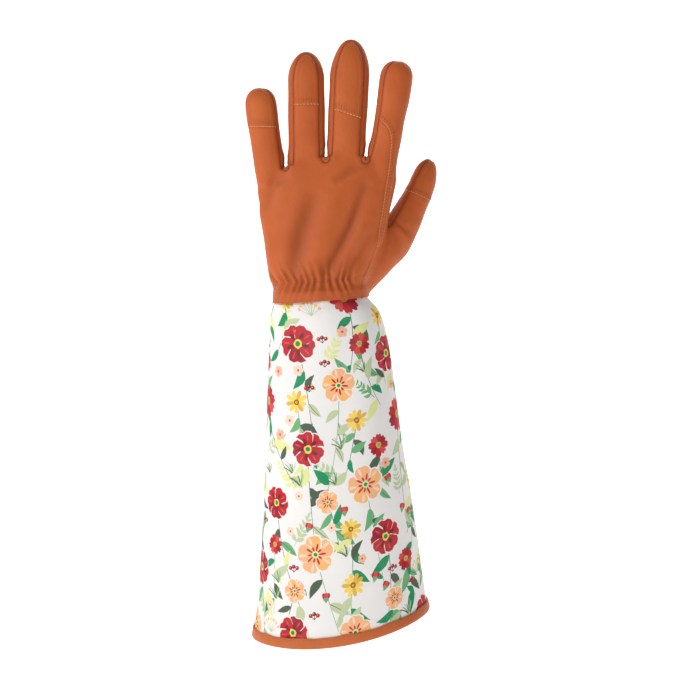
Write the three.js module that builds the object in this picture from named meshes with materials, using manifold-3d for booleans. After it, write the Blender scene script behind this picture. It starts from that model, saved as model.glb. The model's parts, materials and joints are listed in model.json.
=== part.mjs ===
// A long rose pruning gauntlet for a left hand, worn: the back of the hand faces -Y, the thumb is at +X,
// the fingers point up +Z, and the origin is the middle of the cuff's mouth. Millimetres.
import * as THREE from "three";
import { mergeVertices } from "three/addons/utils/BufferGeometryUtils.js";
import Module from "manifold-3d";

const wasm = await Module();
wasm.setup();

// Driving sizes.
const CUFF_LENGTH = 243; // hem to the leather's lower edge, along the forearm
const HEM_WIDTH = 132;
const HEM_DEPTH = 102;
const WRIST_WIDTH = 72;
const WRIST_DEPTH = 56;
const PALM_WIDTH = 107;
const PALM_DEPTH = 44;
const PALM_LENGTH = 110; // leather's lower edge to the finger crotches
const PALM_OFFSET = -12.5; // middle of the palm, from the middle of the hem
const WRIST_OFFSET = -16; // middle of the wrist, from the middle of the hem
const CURL = 9; // how far the fingertips lean towards the palm
const LEATHER = 1.3;
const CLOTH = 1.2;
const SEAM_GAP = 0.3; // between neighbouring pieces
const WRIST_LAP = 8; // how far the sleeve goes up inside the leather
const BINDING_HEIGHT = 7.5;
const BINDING_LEATHER = 1.1;
const HEM_RISE = 0.158; // slope of the hem, higher on the thumb's side
const HEM_DIP = 0.145; // share of its half depth that the hem dips at the back of the arm, and rises at the front
const WRIST_RISE = 0.06; // slope of the leather's lower edge
const PUCKER_HEIGHT = 1.1; // of the gathers that the wrist elastic makes
const PUCKERS = 16; // across the back of the wrist
const WRIST_PUCKER = 0.3; // share of PUCKER_HEIGHT left at the leather's lower edge
const LAP_PUCKER = 0.9; // and at the top of the sleeve
const NECK = 1; // how far below the leather's edge the sleeve is as narrow as inside it
const CROTCH_ARCH = 12; // how far the crotch line falls from its peak to the palm's edge
const CROTCH_PEAK = 0.15; // share of PALM_WIDTH from the palm's middle
const CROTCH_LAP = 3; // how far the side strips run down below a crotch
const TIP_LEATHER_INSET = 2; // fingertip to the end of the back leather

// Facets.
const BACK_STEPS = 2 * PUCKERS;
const PALM_STEPS = 14;
const FINGER_STEPS = 16;
const SLEEVE_STEPS = 40;
const STRAIGHT_SHARES = [0, 0.33, 0.66, 1]; // rings along a finger before its tip
const TIP_ANGLES = [66, 45, 27, 12].map((degrees) => (degrees * Math.PI) / 180);
const FAR = 700; // past every face of the gauntlet
const PALM_FULLNESS = 2.35; // 2 is an ellipse, and more is fuller
const FINGER_FULLNESS = 2.2;
const SLEEVE_FULLNESS = 2.05;
const PATCH_REACH = 0.62; // half the width of a fingertip patch's zone, as a share of the finger's width

// The printed sleeve, from the hem up. up: share of CUFF_LENGTH; flare: share of the way from the wrist's size to the
// hem's; lean: share of the way from the hem's middle to the wrist's.
const SLEEVE_SECTIONS = [
  { up: 0, flare: 1, lean: 0.055 },
  { up: 0.14, flare: 0.855, lean: 0.125 },
  { up: 0.386, flare: 0.655, lean: 0.26 },
  { up: 0.6, flare: 0.49, lean: 0.44 },
  { up: 0.8, flare: 0.34, lean: 0.58 },
  { up: 0.907, flare: 0.235, lean: 0.68 },
  { up: 0.963, flare: 0.145, lean: 0.8 },
];

// The palm and wrist, from the leather's lower edge up. up: share of PALM_LENGTH; width and back, front: shares of
// PALM_WIDTH and PALM_DEPTH; shift: share of PALM_WIDTH from the palm's middle; pucker: share of PUCKER_HEIGHT.
const PALM_SECTIONS = [
  { up: 0.11, width: 0.66, back: 0.57, front: 0.61, shift: -0.034, pucker: 1 },
  { up: 0.15, width: 0.7, back: 0.56, front: 0.6, shift: -0.038, pucker: 0.7 },
  { up: 0.21, width: 0.735, back: 0.53, front: 0.58, shift: -0.03, pucker: 0.25 },
  { up: 0.31, width: 0.79, back: 0.48, front: 0.56, shift: -0.018, pucker: 0 },
  { up: 0.45, width: 0.86, back: 0.45, front: 0.53, shift: -0.004, pucker: 0 },
  { up: 0.6, width: 0.905, back: 0.42, front: 0.48, shift: -0.004, pucker: 0 },
  { up: 0.75, width: 0.957, back: 0.38, front: 0.42, shift: 0, pucker: 0 },
  { up: 0.88, width: 0.99, back: 0.33, front: 0.34, shift: 0, pucker: 0 },
  { up: 0.97, width: 0.98, back: 0.28, front: 0.28, shift: 0.005, pucker: 0 },
  { up: 1.06, width: 0.94, back: 0.24, front: 0.24, shift: 0.01, pucker: 0 },
];

// The fingers. root, bow and the widths: shares of PALM_WIDTH; length, tipRound and patch: shares of PALM_LENGTH;
// depth: share of PALM_DEPTH; lean: degrees. strip: share of the half width that the back leather leaves to the side
// strips; open names a side where it runs on round.
const FINGER_ROOT = 0.79; // share of PALM_LENGTH
const FINGER_SHARES = [
  { name: "pinky", root: -0.372, length: 0.661, lean: -7.7, bow: 0, rootWidth: 0.2055, midWidth: 0.215,
    topWidth: 0.2205, depth: 0.455, tipRound: 0.127, strip: 0.16, open: "left", patch: 0.2715, patchSlope: -0.15 },
  { name: "ring", root: -0.125, length: 0.903, lean: -0.6, bow: 0, rootWidth: 0.256, midWidth: 0.258,
    topWidth: 0.258, depth: 0.523, tipRound: 0.2, strip: 0.28, open: "", patch: 0.367, patchSlope: 0 },
  { name: "middle", root: 0.131, length: 0.99, lean: 3, bow: 0, rootWidth: 0.256, midWidth: 0.275,
    topWidth: 0.2805, depth: 0.545, tipRound: 0.273, strip: 0.26, open: "", patch: 0.516, patchSlope: -0.27 },
  { name: "index", root: 0.36, length: 0.852, lean: 10.2, bow: 0.0075, rootWidth: 0.2205, midWidth: 0.2095,
    topWidth: 0.2335, depth: 0.5, tipRound: 0.136, strip: 0.24, open: "right", patch: 0, patchSlope: 0 },
];
const FINGERS = FINGER_SHARES.map((f) => ({
  ...f,
  length: f.length * PALM_LENGTH,
  tipRound: f.tipRound * PALM_LENGTH,
  patch: f.patch * PALM_LENGTH,
  bow: f.bow * PALM_WIDTH,
  rootWidth: f.rootWidth * PALM_WIDTH,
  midWidth: f.midWidth * PALM_WIDTH,
  topWidth: f.topWidth * PALM_WIDTH,
  depth: f.depth * PALM_DEPTH,
}));

// The thumb, from the wrist to the last joint. side, out and up: shares of PALM_WIDTH, PALM_DEPTH and PALM_LENGTH from
// the palm's middle and the leather's lower edge; width and depth: shares of THUMB_WIDTH and THUMB_DEPTH.
const THUMB_WIDTH = 0.271 * PALM_WIDTH;
const THUMB_DEPTH = 0.705 * PALM_DEPTH;
const THUMB_TIP_ROUND = 0.1455 * PALM_LENGTH;
const THUMB_SECTIONS = [
  { side: 0.21, out: 0.12, up: 0.11, width: 0.8, depth: 0.8 },
  { side: 0.37, out: 0.26, up: 0.285, width: 0.9, depth: 1 },
  { side: 0.468, out: 0.34, up: 0.4, width: 1, depth: 0.97 },
  { side: 0.55, out: 0.41, up: 0.53, width: 0.89, depth: 0.87 },
  { side: 0.608, out: 0.46, up: 0.63, width: 0.77, depth: 0.8 },
  { side: 0.678, out: 0.51, up: 0.77, width: 0.67, depth: 0.74 },
  { side: 0.735, out: 0.55, up: 0.97, width: 0.63, depth: 0.68 },
];
const THUMB_SEAM_AT = 0.8; // share of the thumb's centre line whose frame its seams follow
const THUMB_SEAM_TURN = 0.9; // radians that the seam plane is turned round that line
const THUMB_PATCH_FROM = 0.765; // share of the centre line where the tip patch starts
const THUMB_OUTLINE = [
  { side: 0.45, up: 0.62 },
  { side: 0.38, up: 0.5 },
  { side: 0.36, up: 0.36 },
  { side: 0.42, up: 0.24 },
  { side: 0.56, up: 0.16 },
  { side: 0.95, up: 0.16 },
  { side: 0.95, up: 1.2 },
  { side: 0.62, up: 1.2 },
  { side: 0.52, up: 0.8 },
];

// The topstitched edge of the back leather, from the index finger down to the wrist. side: share of PALM_WIDTH from
// the palm's middle; up: share of PALM_LENGTH.
const WRAP_EDGE = [
  { side: 0.345, up: 1.26 },
  { side: 0.4, up: 1.205 },
  { side: 0.435, up: 1.165 },
  { side: 0.45, up: 1.1 },
  { side: 0.445, up: 0.99 },
  { side: 0.42, up: 0.81 },
  { side: 0.38, up: 0.56 },
  { side: 0.35, up: 0.39 },
  { side: 0.29, up: 0.22 },
  { side: 0.255, up: 0.15 },
  { side: 0.255, up: -0.3 },
];

// Soft ridges on the back of the hand. side and up as above, at both ends; height: share of FOLD_HEIGHT, negative in a
// hollow; width: share of PALM_WIDTH.
const FOLD_HEIGHT = 2.2;
const FOLDS = [
  { sideTop: -0.33, upTop: 0.74, sideEnd: -0.35, upEnd: 0.22, height: 0.3, width: 0.06 },
  { sideTop: -0.16, upTop: 0.69, sideEnd: -0.3, upEnd: 0.22, height: 0.6, width: 0.055 },
  { sideTop: -0.08, upTop: 0.68, sideEnd: -0.22, upEnd: 0.22, height: -0.7, width: 0.05 },
  { sideTop: 0.07, upTop: 0.77, sideEnd: -0.08, upEnd: 0.22, height: 1, width: 0.07 },
  { sideTop: 0.28, upTop: 0.78, sideEnd: 0.03, upEnd: 0.22, height: -0.9, width: 0.04 },
  { sideTop: 0.31, upTop: 0.6, sideEnd: 0.09, upEnd: 0.22, height: 0.8, width: 0.042 },
  { sideTop: 0.32, upTop: 0.44, sideEnd: 0.17, upEnd: 0.19, height: -0.5, width: 0.035 },
];

const leatherFinish = new THREE.MeshStandardMaterial({ color: 0xb9622f, roughness: 0.62, metalness: 0 });
const patchFinish = new THREE.MeshStandardMaterial({ color: 0xb55e2d, roughness: 0.62, metalness: 0 });
const bindingFinish = new THREE.MeshStandardMaterial({ color: 0xb8602c, roughness: 0.55, metalness: 0 });
const clothFinish = new THREE.MeshStandardMaterial({ color: 0xebe7e1, roughness: 0.85, metalness: 0 });

const mix = (a, b, t) => a + (b - a) * t;
const clamp01 = (t) => Math.min(1, Math.max(0, t));
const toRadians = (degrees) => (degrees * Math.PI) / 180;
const palmX = (side) => PALM_OFFSET + side * PALM_WIDTH;
const palmZ = (up) => CUFF_LENGTH + up * PALM_LENGTH;

// A closed triangle mesh as a solid, and a solid as a named mesh.
function solidFrom(geometry) {
  const bare = geometry.clone();
  bare.deleteAttribute("normal");
  bare.deleteAttribute("uv");
  const merged = mergeVertices(bare, 1e-4);
  return new wasm.Manifold(
    new wasm.Mesh({
      numProp: 3,
      vertProperties: new Float32Array(merged.attributes.position.array),
      triVerts: new Uint32Array(merged.index.array),
    }),
  );
}

function meshFrom(solid, name, finish) {
  const made = solid.getMesh();
  const geometry = new THREE.BufferGeometry();
  geometry.setAttribute("position", new THREE.BufferAttribute(new Float32Array(made.vertProperties), 3));
  geometry.setIndex(new THREE.BufferAttribute(new Uint32Array(made.triVerts), 1));
  geometry.computeVertexNormals();
  const mesh = new THREE.Mesh(geometry, finish);
  mesh.name = name;
  return mesh;
}

// Quads between neighbouring rings of points; wrap joins the last ring to the first.
function bandTriangles(ringCount, steps, wrap) {
  const triangles = [];
  for (let r = 0; r < (wrap ? ringCount : ringCount - 1); r++) {
    const above = (r + 1) % ringCount;
    for (let i = 0; i < steps; i++) {
      const next = (i + 1) % steps;
      triangles.push(r * steps + i, r * steps + next, above * steps + next);
      triangles.push(r * steps + i, above * steps + next, above * steps + i);
    }
  }
  return triangles;
}

function indexedGeometry(points, triangles) {
  const geometry = new THREE.BufferGeometry().setFromPoints(points);
  geometry.setIndex(triangles);
  return geometry;
}

// A solid through rings that run anticlockwise seen from the last ring, closed by a fan at both ends.
function loft(rings) {
  const steps = rings[0].length;
  const points = rings.flat();
  const triangles = bandTriangles(rings.length, steps, false);
  for (const [ring, first, turn] of [[rings[0], 0, 1], [rings.at(-1), (rings.length - 1) * steps, 0]]) {
    const middle = ring.reduce((sum, p) => sum.add(p), new THREE.Vector3()).divideScalar(steps);
    const apex = points.push(middle) - 1;
    for (let i = 0; i < steps; i++) {
      const [a, b] = [first + i, first + ((i + 1) % steps)];
      triangles.push(apex, turn ? b : a, turn ? a : b);
    }
  }
  return solidFrom(indexedGeometry(points, triangles));
}

// A wall between outer rings and inner rings, open at both ends.
function openTube(outer, inner) {
  const rings = [...outer, ...inner.toReversed()];
  return solidFrom(indexedGeometry(rings.flat(), bandTriangles(rings.length, outer[0].length, true)));
}

// An outline of [x, z] corners, run along Y from y0 to y1.
function prismAlongY(corners, y0 = -FAR, y1 = FAR) {
  const shape = new THREE.Shape(corners.map(([x, z]) => new THREE.Vector2(x, z)));
  const geometry = new THREE.ExtrudeGeometry(shape, { depth: y1 - y0, bevelEnabled: false });
  return solidFrom(geometry.rotateX(Math.PI / 2).translate(0, y1, 0));
}

// An outline of [y, z] corners, run along X.
function prismAlongX(corners) {
  const shape = new THREE.Shape(corners.map(([y, z]) => new THREE.Vector2(y, z)));
  const geometry = new THREE.ExtrudeGeometry(shape, { depth: 2 * FAR, bevelEnabled: false });
  return solidFrom(geometry.rotateX(Math.PI / 2).rotateZ(Math.PI / 2).translate(-FAR, 0, 0));
}

// A big box on the side of a plane that its normal points to.
function halfSpace(point, normal) {
  const turn = new THREE.Quaternion().setFromUnitVectors(new THREE.Vector3(0, 0, 1), normal);
  const box = new THREE.BoxGeometry(2 * FAR, 2 * FAR, 2 * FAR).translate(0, 0, FAR);
  return solidFrom(box.applyQuaternion(turn).translate(point.x, point.y, point.z));
}

const joined = (solids) => solids.reduce((sum, s) => sum.add(s));

// A point of a rounded section: round is 2 for an ellipse and more for a fuller one.
function sectionPoint(angle, halfWidth, halfBack, halfFront, round) {
  const full = (t) => Math.sign(t) * Math.abs(t) ** (2 / round);
  const y = full(Math.sin(angle));
  return [halfWidth * full(Math.cos(angle)), (y < 0 ? halfBack : halfFront) * y];
}

// How far the fingers have curled towards the palm at a height.
const curlRoot = palmZ(FINGER_ROOT);
const longest = Math.max(...FINGERS.map((f) => f.length));
const curlAt = (z) => CURL * (Math.max(0, z - curlRoot) / longest) ** 2;

// Height of the soft ridges on the back of the hand at a place.
function foldHeight(x, z) {
  let height = 0;
  for (const f of FOLDS) {
    const top = new THREE.Vector2(palmX(f.sideTop), palmZ(f.upTop));
    const run = new THREE.Vector2(palmX(f.sideEnd), palmZ(f.upEnd)).sub(top);
    const from = new THREE.Vector2(x, z).sub(top);
    const along = clamp01(from.dot(run) / run.lengthSq());
    const away = from.sub(run.multiplyScalar(along)).length() / (f.width * PALM_WIDTH);
    height += f.height * FOLD_HEIGHT * Math.sin(Math.PI * mix(0.12, 0.9, along)) * Math.exp(-away * away);
  }
  return height;
}

// The wrist and palm. The ring's angles are closer together on the back, where the puckers are.
const palmAngles = [
  ...Array.from({ length: PALM_STEPS }, (_, i) => (Math.PI * i) / PALM_STEPS),
  ...Array.from({ length: BACK_STEPS }, (_, i) => Math.PI + (Math.PI * i) / BACK_STEPS),
];
function palmRing(section, inset) {
  const halfWidth = section.halfWidth - inset;
  return palmAngles.map((angle, i) => {
    const [dx, dy] = sectionPoint(angle, halfWidth, section.halfBack - inset, section.halfFront - inset, PALM_FULLNESS);
    const x = section.x + dx;
    const z = section.z + section.rise * dx;
    const onBack = dy < 0 ? clamp01(-dy / (0.4 * section.halfBack)) : 0;
    const shirred = onBack * clamp01((palmX(WRAP_EDGE.at(-1).side) + 6 - x) / 12);
    const ripple = (i % 2 ? -1 : 1) * 0.5 * section.pucker * PUCKER_HEIGHT * shirred;
    const away = ripple / Math.hypot(dx, dy);
    const fold = onBack * foldHeight(x, z) * clamp01((section.z - palmZ(0.1)) / 12);
    return new THREE.Vector3(x + dx * away, curlAt(section.z) + dy * (1 + away) - fold, z);
  });
}

const wristSection = {
  x: WRIST_OFFSET,
  z: CUFF_LENGTH,
  halfWidth: WRIST_WIDTH / 2,
  halfBack: WRIST_DEPTH / 2,
  halfFront: WRIST_DEPTH / 2,
  rise: WRIST_RISE,
  pucker: WRIST_PUCKER,
};
const palmSections = [
  wristSection,
  { ...wristSection, z: CUFF_LENGTH + WRIST_LAP, pucker: LAP_PUCKER },
  ...PALM_SECTIONS.map((s) => ({
    x: palmX(s.shift),
    z: palmZ(s.up),
    halfWidth: (s.width * PALM_WIDTH) / 2,
    halfBack: s.back * PALM_DEPTH,
    halfFront: s.front * PALM_DEPTH,
    rise: WRIST_RISE * clamp01(1 - 3 * s.up),
    pucker: s.pucker,
  })),
];
const belowWrist = { ...wristSection, z: CUFF_LENGTH - 3 * WRIST_LAP, pucker: 0 };

// The line that the finger crotches lie on, moved down by drop, as the outline of all that is under it.
function underCrotches(drop) {
  const line = Array.from({ length: 13 }, (_, i) => {
    const t = mix(-1.5, 1.5, i / 12);
    return [palmX(CROTCH_PEAK) + (t * PALM_WIDTH) / 2, palmZ(1) - CROTCH_ARCH * t * t - drop];
  });
  return [[line[0][0], -FAR], [line.at(-1)[0], -FAR], ...line.toReversed()];
}

// The wrist and palm without fingers, taken in by inset. The hollow inside runs on out of the wrist.
function palmBody(inset) {
  const sections = inset > 0 ? [belowWrist, ...palmSections] : palmSections;
  return loft(sections.map((s) => palmRing(s, inset))).intersect(prismAlongY(underCrotches(inset)));
}

// A ring across a finger or the thumb.
function crossRing({ centre, across, out, halfWidth, halfDepth }) {
  return Array.from({ length: FINGER_STEPS }, (_, i) => {
    const angle = (2 * Math.PI * i) / FINGER_STEPS;
    const [dx, dy] = sectionPoint(angle, halfWidth, halfDepth, halfDepth, FINGER_FULLNESS);
    return centre.clone().addScaledVector(across, dx).addScaledVector(out, dy);
  });
}

// A finger's centre line in the front view, from a place inside the palm to the tip.
function fingerAxis(f) {
  const lean = toRadians(f.lean);
  const along = new THREE.Vector2(Math.sin(lean), Math.cos(lean));
  const across = new THREE.Vector2(along.y, -along.x);
  const root = new THREE.Vector2(palmX(f.root), palmZ(FINGER_ROOT));
  const at = (s, side = 0) =>
    root
      .clone()
      .addScaledVector(along, s)
      .addScaledVector(across, side + f.bow * Math.sin((Math.PI * s) / f.length));
  return { across, at };
}

function fingerHalfWidth(f, s) {
  const share = clamp01(s / f.length);
  const width = share < 0.5
    ? mix(f.rootWidth, f.midWidth, share / 0.5)
    : mix(f.midWidth, f.topWidth, clamp01((share - 0.5) / 0.3));
  return width / 2;
}

// Distances from the root, with the share of the full width there: straight first, then round to the tip.
function tipProfile(straight, round) {
  return [
    ...STRAIGHT_SHARES.map((share) => ({ s: share * straight, share: 1 })),
    ...TIP_ANGLES.map((a) => ({ s: straight + round * Math.cos(a), share: Math.sin(a) })),
  ];
}

function fingerBody(f, inset) {
  const axis = fingerAxis(f);
  const across = new THREE.Vector3(axis.across.x, 0, axis.across.y);
  const out = new THREE.Vector3(0, 1, 0);
  const rings = tipProfile(f.length - f.tipRound, f.tipRound - inset).map(({ s, share }) => {
    const place = axis.at(s);
    return crossRing({
      centre: new THREE.Vector3(place.x, curlAt(place.y), place.y),
      across,
      out,
      halfWidth: (fingerHalfWidth(f, s) - inset) * share,
      halfDepth: (f.depth / 2 - inset) * share,
    });
  });
  return loft(rings);
}

// The thumb's centre line through its sections.
const thumbCurve = new THREE.CatmullRomCurve3(
  THUMB_SECTIONS.map((s) => new THREE.Vector3(palmX(s.side), s.out * PALM_DEPTH, palmZ(s.up))),
);

function thumbFrame(t) {
  const along = thumbCurve.getTangent(t);
  const across = new THREE.Vector3(along.z, 0, -along.x).normalize();
  return { along, across, out: new THREE.Vector3().crossVectors(along, across).normalize() };
}

function thumbBody(inset) {
  const last = THUMB_SECTIONS.length - 1;
  const rings = THUMB_SECTIONS.slice(0, -1).map((s, i) =>
    crossRing({
      centre: thumbCurve.getPoint(i / last),
      ...thumbFrame(i / last),
      halfWidth: (s.width * THUMB_WIDTH) / 2 - inset,
      halfDepth: (s.depth * THUMB_DEPTH) / 2 - inset,
    }),
  );
  const end = THUMB_SECTIONS[last];
  const tip = thumbCurve.getPoint(1);
  const round = THUMB_TIP_ROUND - inset;
  for (const angle of [Math.PI / 2, ...TIP_ANGLES]) {
    rings.push(
      crossRing({
        centre: tip.clone().addScaledVector(thumbFrame(1).along, round * Math.cos(angle) - THUMB_TIP_ROUND),
        ...thumbFrame(1),
        halfWidth: ((end.width * THUMB_WIDTH) / 2 - inset) * Math.sin(angle),
        halfDepth: ((end.depth * THUMB_DEPTH) / 2 - inset) * Math.sin(angle),
      }),
    );
  }
  return loft(rings);
}

// The whole leather shell of the hand, before it is cut along its seams.
const handBody = (inset) => joined([palmBody(inset), ...FINGERS.map((f) => fingerBody(f, inset)), thumbBody(inset)]);
const handShell = handBody(0).subtract(handBody(LEATHER));

// The back leather of one finger in the front view, grown by grow. An open side runs on past the outline.
function fingerLeather(f, grow) {
  const axis = fingerAxis(f);
  const round = f.tipRound;
  const inset = f.open ? 0 : TIP_LEATHER_INSET;
  const edge = (sign) =>
    tipProfile(f.length - inset - round, round + grow).map(({ s, share }) => {
      const side = sign * (fingerHalfWidth(f, s) * (1 - f.strip) * share + grow);
      return axis.at(s, side).toArray();
    });
  const tip = axis.at(f.length - inset + grow).toArray();
  const away = { left: -FAR, right: FAR }[f.open];
  const corners = f.open
    ? [...edge(-Math.sign(away)), tip, [tip[0], FAR], [away, FAR], [away, palmZ(0.5)]]
    : [...edge(1), tip, ...edge(-1).toReversed()];
  return prismAlongY(f.open === "right" ? corners.toReversed() : corners);
}

// All the leather of the palm and of the fingers' backs and fronts, without the side strips.
const panelZone = (grow) =>
  joined([prismAlongY(underCrotches(CROTCH_LAP - grow)), ...FINGERS.map((f) => fingerLeather(f, grow))]);

// The side of the middle surface that the back of the hand is on, grown by grow.
function backHalf(grow) {
  const line = Array.from({ length: 9 }, (_, i) => {
    const z = mix(curlRoot, curlRoot + longest, i / 8);
    return [curlAt(z) + grow, z];
  });
  const corners = [[-FAR, -FAR], [grow, -FAR], ...line, [line.at(-1)[0], FAR], [-FAR, FAR]];
  return prismAlongX(corners);
}

// What lies on the small finger's side of the topstitched edge, grown by grow.
function inFromWrapEdge(grow) {
  const line = WRAP_EDGE.map((p) => new THREE.Vector2(palmX(p.side), palmZ(p.up)));
  const edge = line.map((p, i) => {
    const run = line[Math.min(i + 1, line.length - 1)].clone().sub(line[Math.max(i - 1, 0)]).normalize();
    return [p.x - 1.1 * grow * run.y, p.y + 1.1 * grow * run.x];
  });
  return prismAlongY([[-FAR, -FAR], [edge.at(-1)[0], -FAR], ...edge.toReversed(), [edge[0][0], FAR], [-FAR, FAR]]);
}

// What lies past a fingertip patch's lower edge, for one finger.
function patchZone(f, grow) {
  const axis = fingerAxis(f);
  const reach = PATCH_REACH * f.midWidth;
  const low = (side) => axis.at(f.length - f.patch - grow + f.patchSlope * side, side).toArray();
  const high = (side) => axis.at(f.length + reach, side).toArray();
  return prismAlongY([low(-reach), low(reach), high(reach), high(-reach)]);
}

const backZone = (grow) => panelZone(grow).intersect(backHalf(grow)).intersect(inFromWrapEdge(grow));
const backLeather = handShell.intersect(backZone(0));
const patched = FINGERS.filter((f) => f.patch > 0);

// The strips along the sides of two neighbouring fingers, joined through the crotch between them.
function sideStrip(a, b) {
  const edge = (f, nudge) => [0, f.length / 2, f.length + f.tipRound].map((s) => fingerAxis(f).at(s, nudge).toArray());
  const between = prismAlongY([...edge(a, SEAM_GAP / 2).toReversed(), ...edge(b, -SEAM_GAP / 2)]);
  return handShell.intersect(between).subtract(panelZone(SEAM_GAP));
}

// The thumb's seams: a plane along its axis, the outline of its front piece, and the edge of its tip patch.
const thumbMiddle = thumbCurve.getPoint(THUMB_SEAM_AT);
const { along: thumbAlong, across: thumbAcross, out: thumbOut } = thumbFrame(THUMB_SEAM_AT);
const thumbSeamNormal = thumbAcross
  .clone()
  .multiplyScalar(-Math.sin(THUMB_SEAM_TURN))
  .addScaledVector(thumbOut, Math.cos(THUMB_SEAM_TURN));

// The thumb's part of the front view, grown by grow.
function thumbOutline(grow) {
  const corners = THUMB_OUTLINE.map((p) => new THREE.Vector2(palmX(p.side), palmZ(p.up)));
  const middle = corners.reduce((sum, c) => sum.add(c), new THREE.Vector2()).divideScalar(corners.length);
  const grown = corners.map((c) => {
    const out = c.clone().sub(middle);
    return c.addScaledVector(out, (1.5 * grow) / out.length()).toArray();
  });
  return prismAlongY(grown);
}

const thumbFrontZone = (grow) =>
  thumbOutline(grow).intersect(
    halfSpace(thumbMiddle.clone().addScaledVector(thumbSeamNormal, -grow), thumbSeamNormal),
  );
const thumbPatchZone = (grow) =>
  thumbOutline(grow).intersect(
    halfSpace(thumbCurve.getPoint(THUMB_PATCH_FROM).addScaledVector(thumbAlong, -grow), thumbAlong),
  );

const palmLeather = handShell.intersect(panelZone(0)).subtract(backZone(SEAM_GAP));
const thumbBack = palmLeather.subtract(thumbFrontZone(SEAM_GAP));

// The sleeve's size and place at a share of its length.
function sleeveSection(up) {
  const top = { up: 1, flare: 0, lean: 1 };
  const rows = [...SLEEVE_SECTIONS, top];
  const k = Math.min(rows.length - 2, rows.findLastIndex((row) => row.up <= Math.max(0, up)));
  const t = clamp01((up - rows[k].up) / (rows[k + 1].up - rows[k].up));
  const flare = mix(rows[k].flare, rows[k + 1].flare, t);
  return {
    x: WRIST_OFFSET * mix(rows[k].lean, rows[k + 1].lean, t),
    z: CUFF_LENGTH * up,
    halfWidth: mix(WRIST_WIDTH, HEM_WIDTH, flare) / 2,
    halfDepth: mix(WRIST_DEPTH, HEM_DEPTH, flare) / 2,
    rise: mix(HEM_RISE, WRIST_RISE, clamp01(up)),
    dip: HEM_DIP * (1 - clamp01(up)),
  };
}

function sleeveRing(section, offset) {
  return Array.from({ length: SLEEVE_STEPS }, (_, i) => {
    const angle = (2 * Math.PI * i) / SLEEVE_STEPS;
    const [halfWidth, halfDepth] = [section.halfWidth + offset, section.halfDepth + offset];
    const [dx, dy] = sectionPoint(angle, halfWidth, halfDepth, halfDepth, SLEEVE_FULLNESS);
    const dip = (section.dip * dy * Math.abs(dy)) / halfDepth;
    return new THREE.Vector3(section.x + dx, dy, section.z + section.rise * dx + dip);
  });
}

// The sleeve from inside its binding to inside the leather's lower edge.
function sleeve() {
  const inLeather = -(LEATHER + SEAM_GAP + PUCKER_HEIGHT / 2);
  const wrist = sleeveSection(1);
  const stations = [
    ...SLEEVE_SECTIONS.map((s, i) => ({ section: sleeveSection(i ? s.up : hemUp(BINDING_LEATHER + SEAM_GAP)), in: 0 })),
    { section: { ...wrist, z: wrist.z - NECK }, in: inLeather },
    { section: { ...wrist, z: wrist.z + WRIST_LAP, rise: WRIST_RISE }, in: inLeather },
  ];
  return openTube(
    stations.map((s) => sleeveRing(s.section, s.in)),
    stations.map((s) => sleeveRing(s.section, s.in - CLOTH)),
  );
}

const hemUp = (height) => height / CUFF_LENGTH;

// The folded strip that holds the sleeve's lower edge. Corners: how far out from the sleeve, and how high.
function hemBinding() {
  const [outside, inside] = [SEAM_GAP, -CLOTH - SEAM_GAP];
  const soft = BINDING_LEATHER / 2;
  const corners = [
    [outside + soft, 0],
    [outside + BINDING_LEATHER, soft],
    [outside + BINDING_LEATHER, BINDING_HEIGHT],
    [outside, BINDING_HEIGHT],
    [outside, BINDING_LEATHER],
    [inside, BINDING_LEATHER],
    [inside, BINDING_HEIGHT],
    [inside - BINDING_LEATHER, BINDING_HEIGHT],
    [inside - BINDING_LEATHER, soft],
    [inside - soft, 0],
  ];
  const rings = corners.map(([offset, height]) => sleeveRing(sleeveSection(hemUp(height)), offset));
  return solidFrom(indexedGeometry(rings.flat(), bandTriangles(rings.length, SLEEVE_STEPS, true)));
}

const gauntlet = new THREE.Group();
const add = (solid, name, finish) => gauntlet.add(meshFrom(solid, name, finish));

add(backLeather.subtract(joined(patched.map((f) => patchZone(f, SEAM_GAP)))), "back_panel", leatherFinish);
for (const f of patched) add(backLeather.intersect(patchZone(f, 0)), `${f.name}_tip_patch`, patchFinish);
for (let i = 0; i + 1 < FINGERS.length; i++) {
  const [a, b] = [FINGERS[i], FINGERS[i + 1]];
  add(sideStrip(a, b), `side_strip_${a.name}_${b.name}`, leatherFinish);
}
add(thumbBack.subtract(thumbPatchZone(SEAM_GAP)), "palm_panel", leatherFinish);
add(thumbBack.intersect(thumbPatchZone(0)), "thumb_tip_patch", patchFinish);
add(palmLeather.intersect(thumbFrontZone(0)), "thumb_front", leatherFinish);
add(sleeve(), "cuff_sleeve", clothFinish);
add(hemBinding(), "hem_binding", bindingFinish);

export default gauntlet;
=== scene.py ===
"""The looks of a long rose pruning gauntlet for a left hand, in the shape that an arm gives it.

The fingers point up +Z, the back of the hand faces -Y and the thumb is at +X. Sizes are in millimetres,
and only the last step of each mesh turns them into Blender's metres.
"""

from __future__ import annotations

import json
import logging
import math
import random
from dataclasses import dataclass, field
from enum import Enum
from typing import Sequence

import bpy
import numpy as np
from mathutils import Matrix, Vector
from mathutils.geometry import delaunay_2d_cdt

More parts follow.
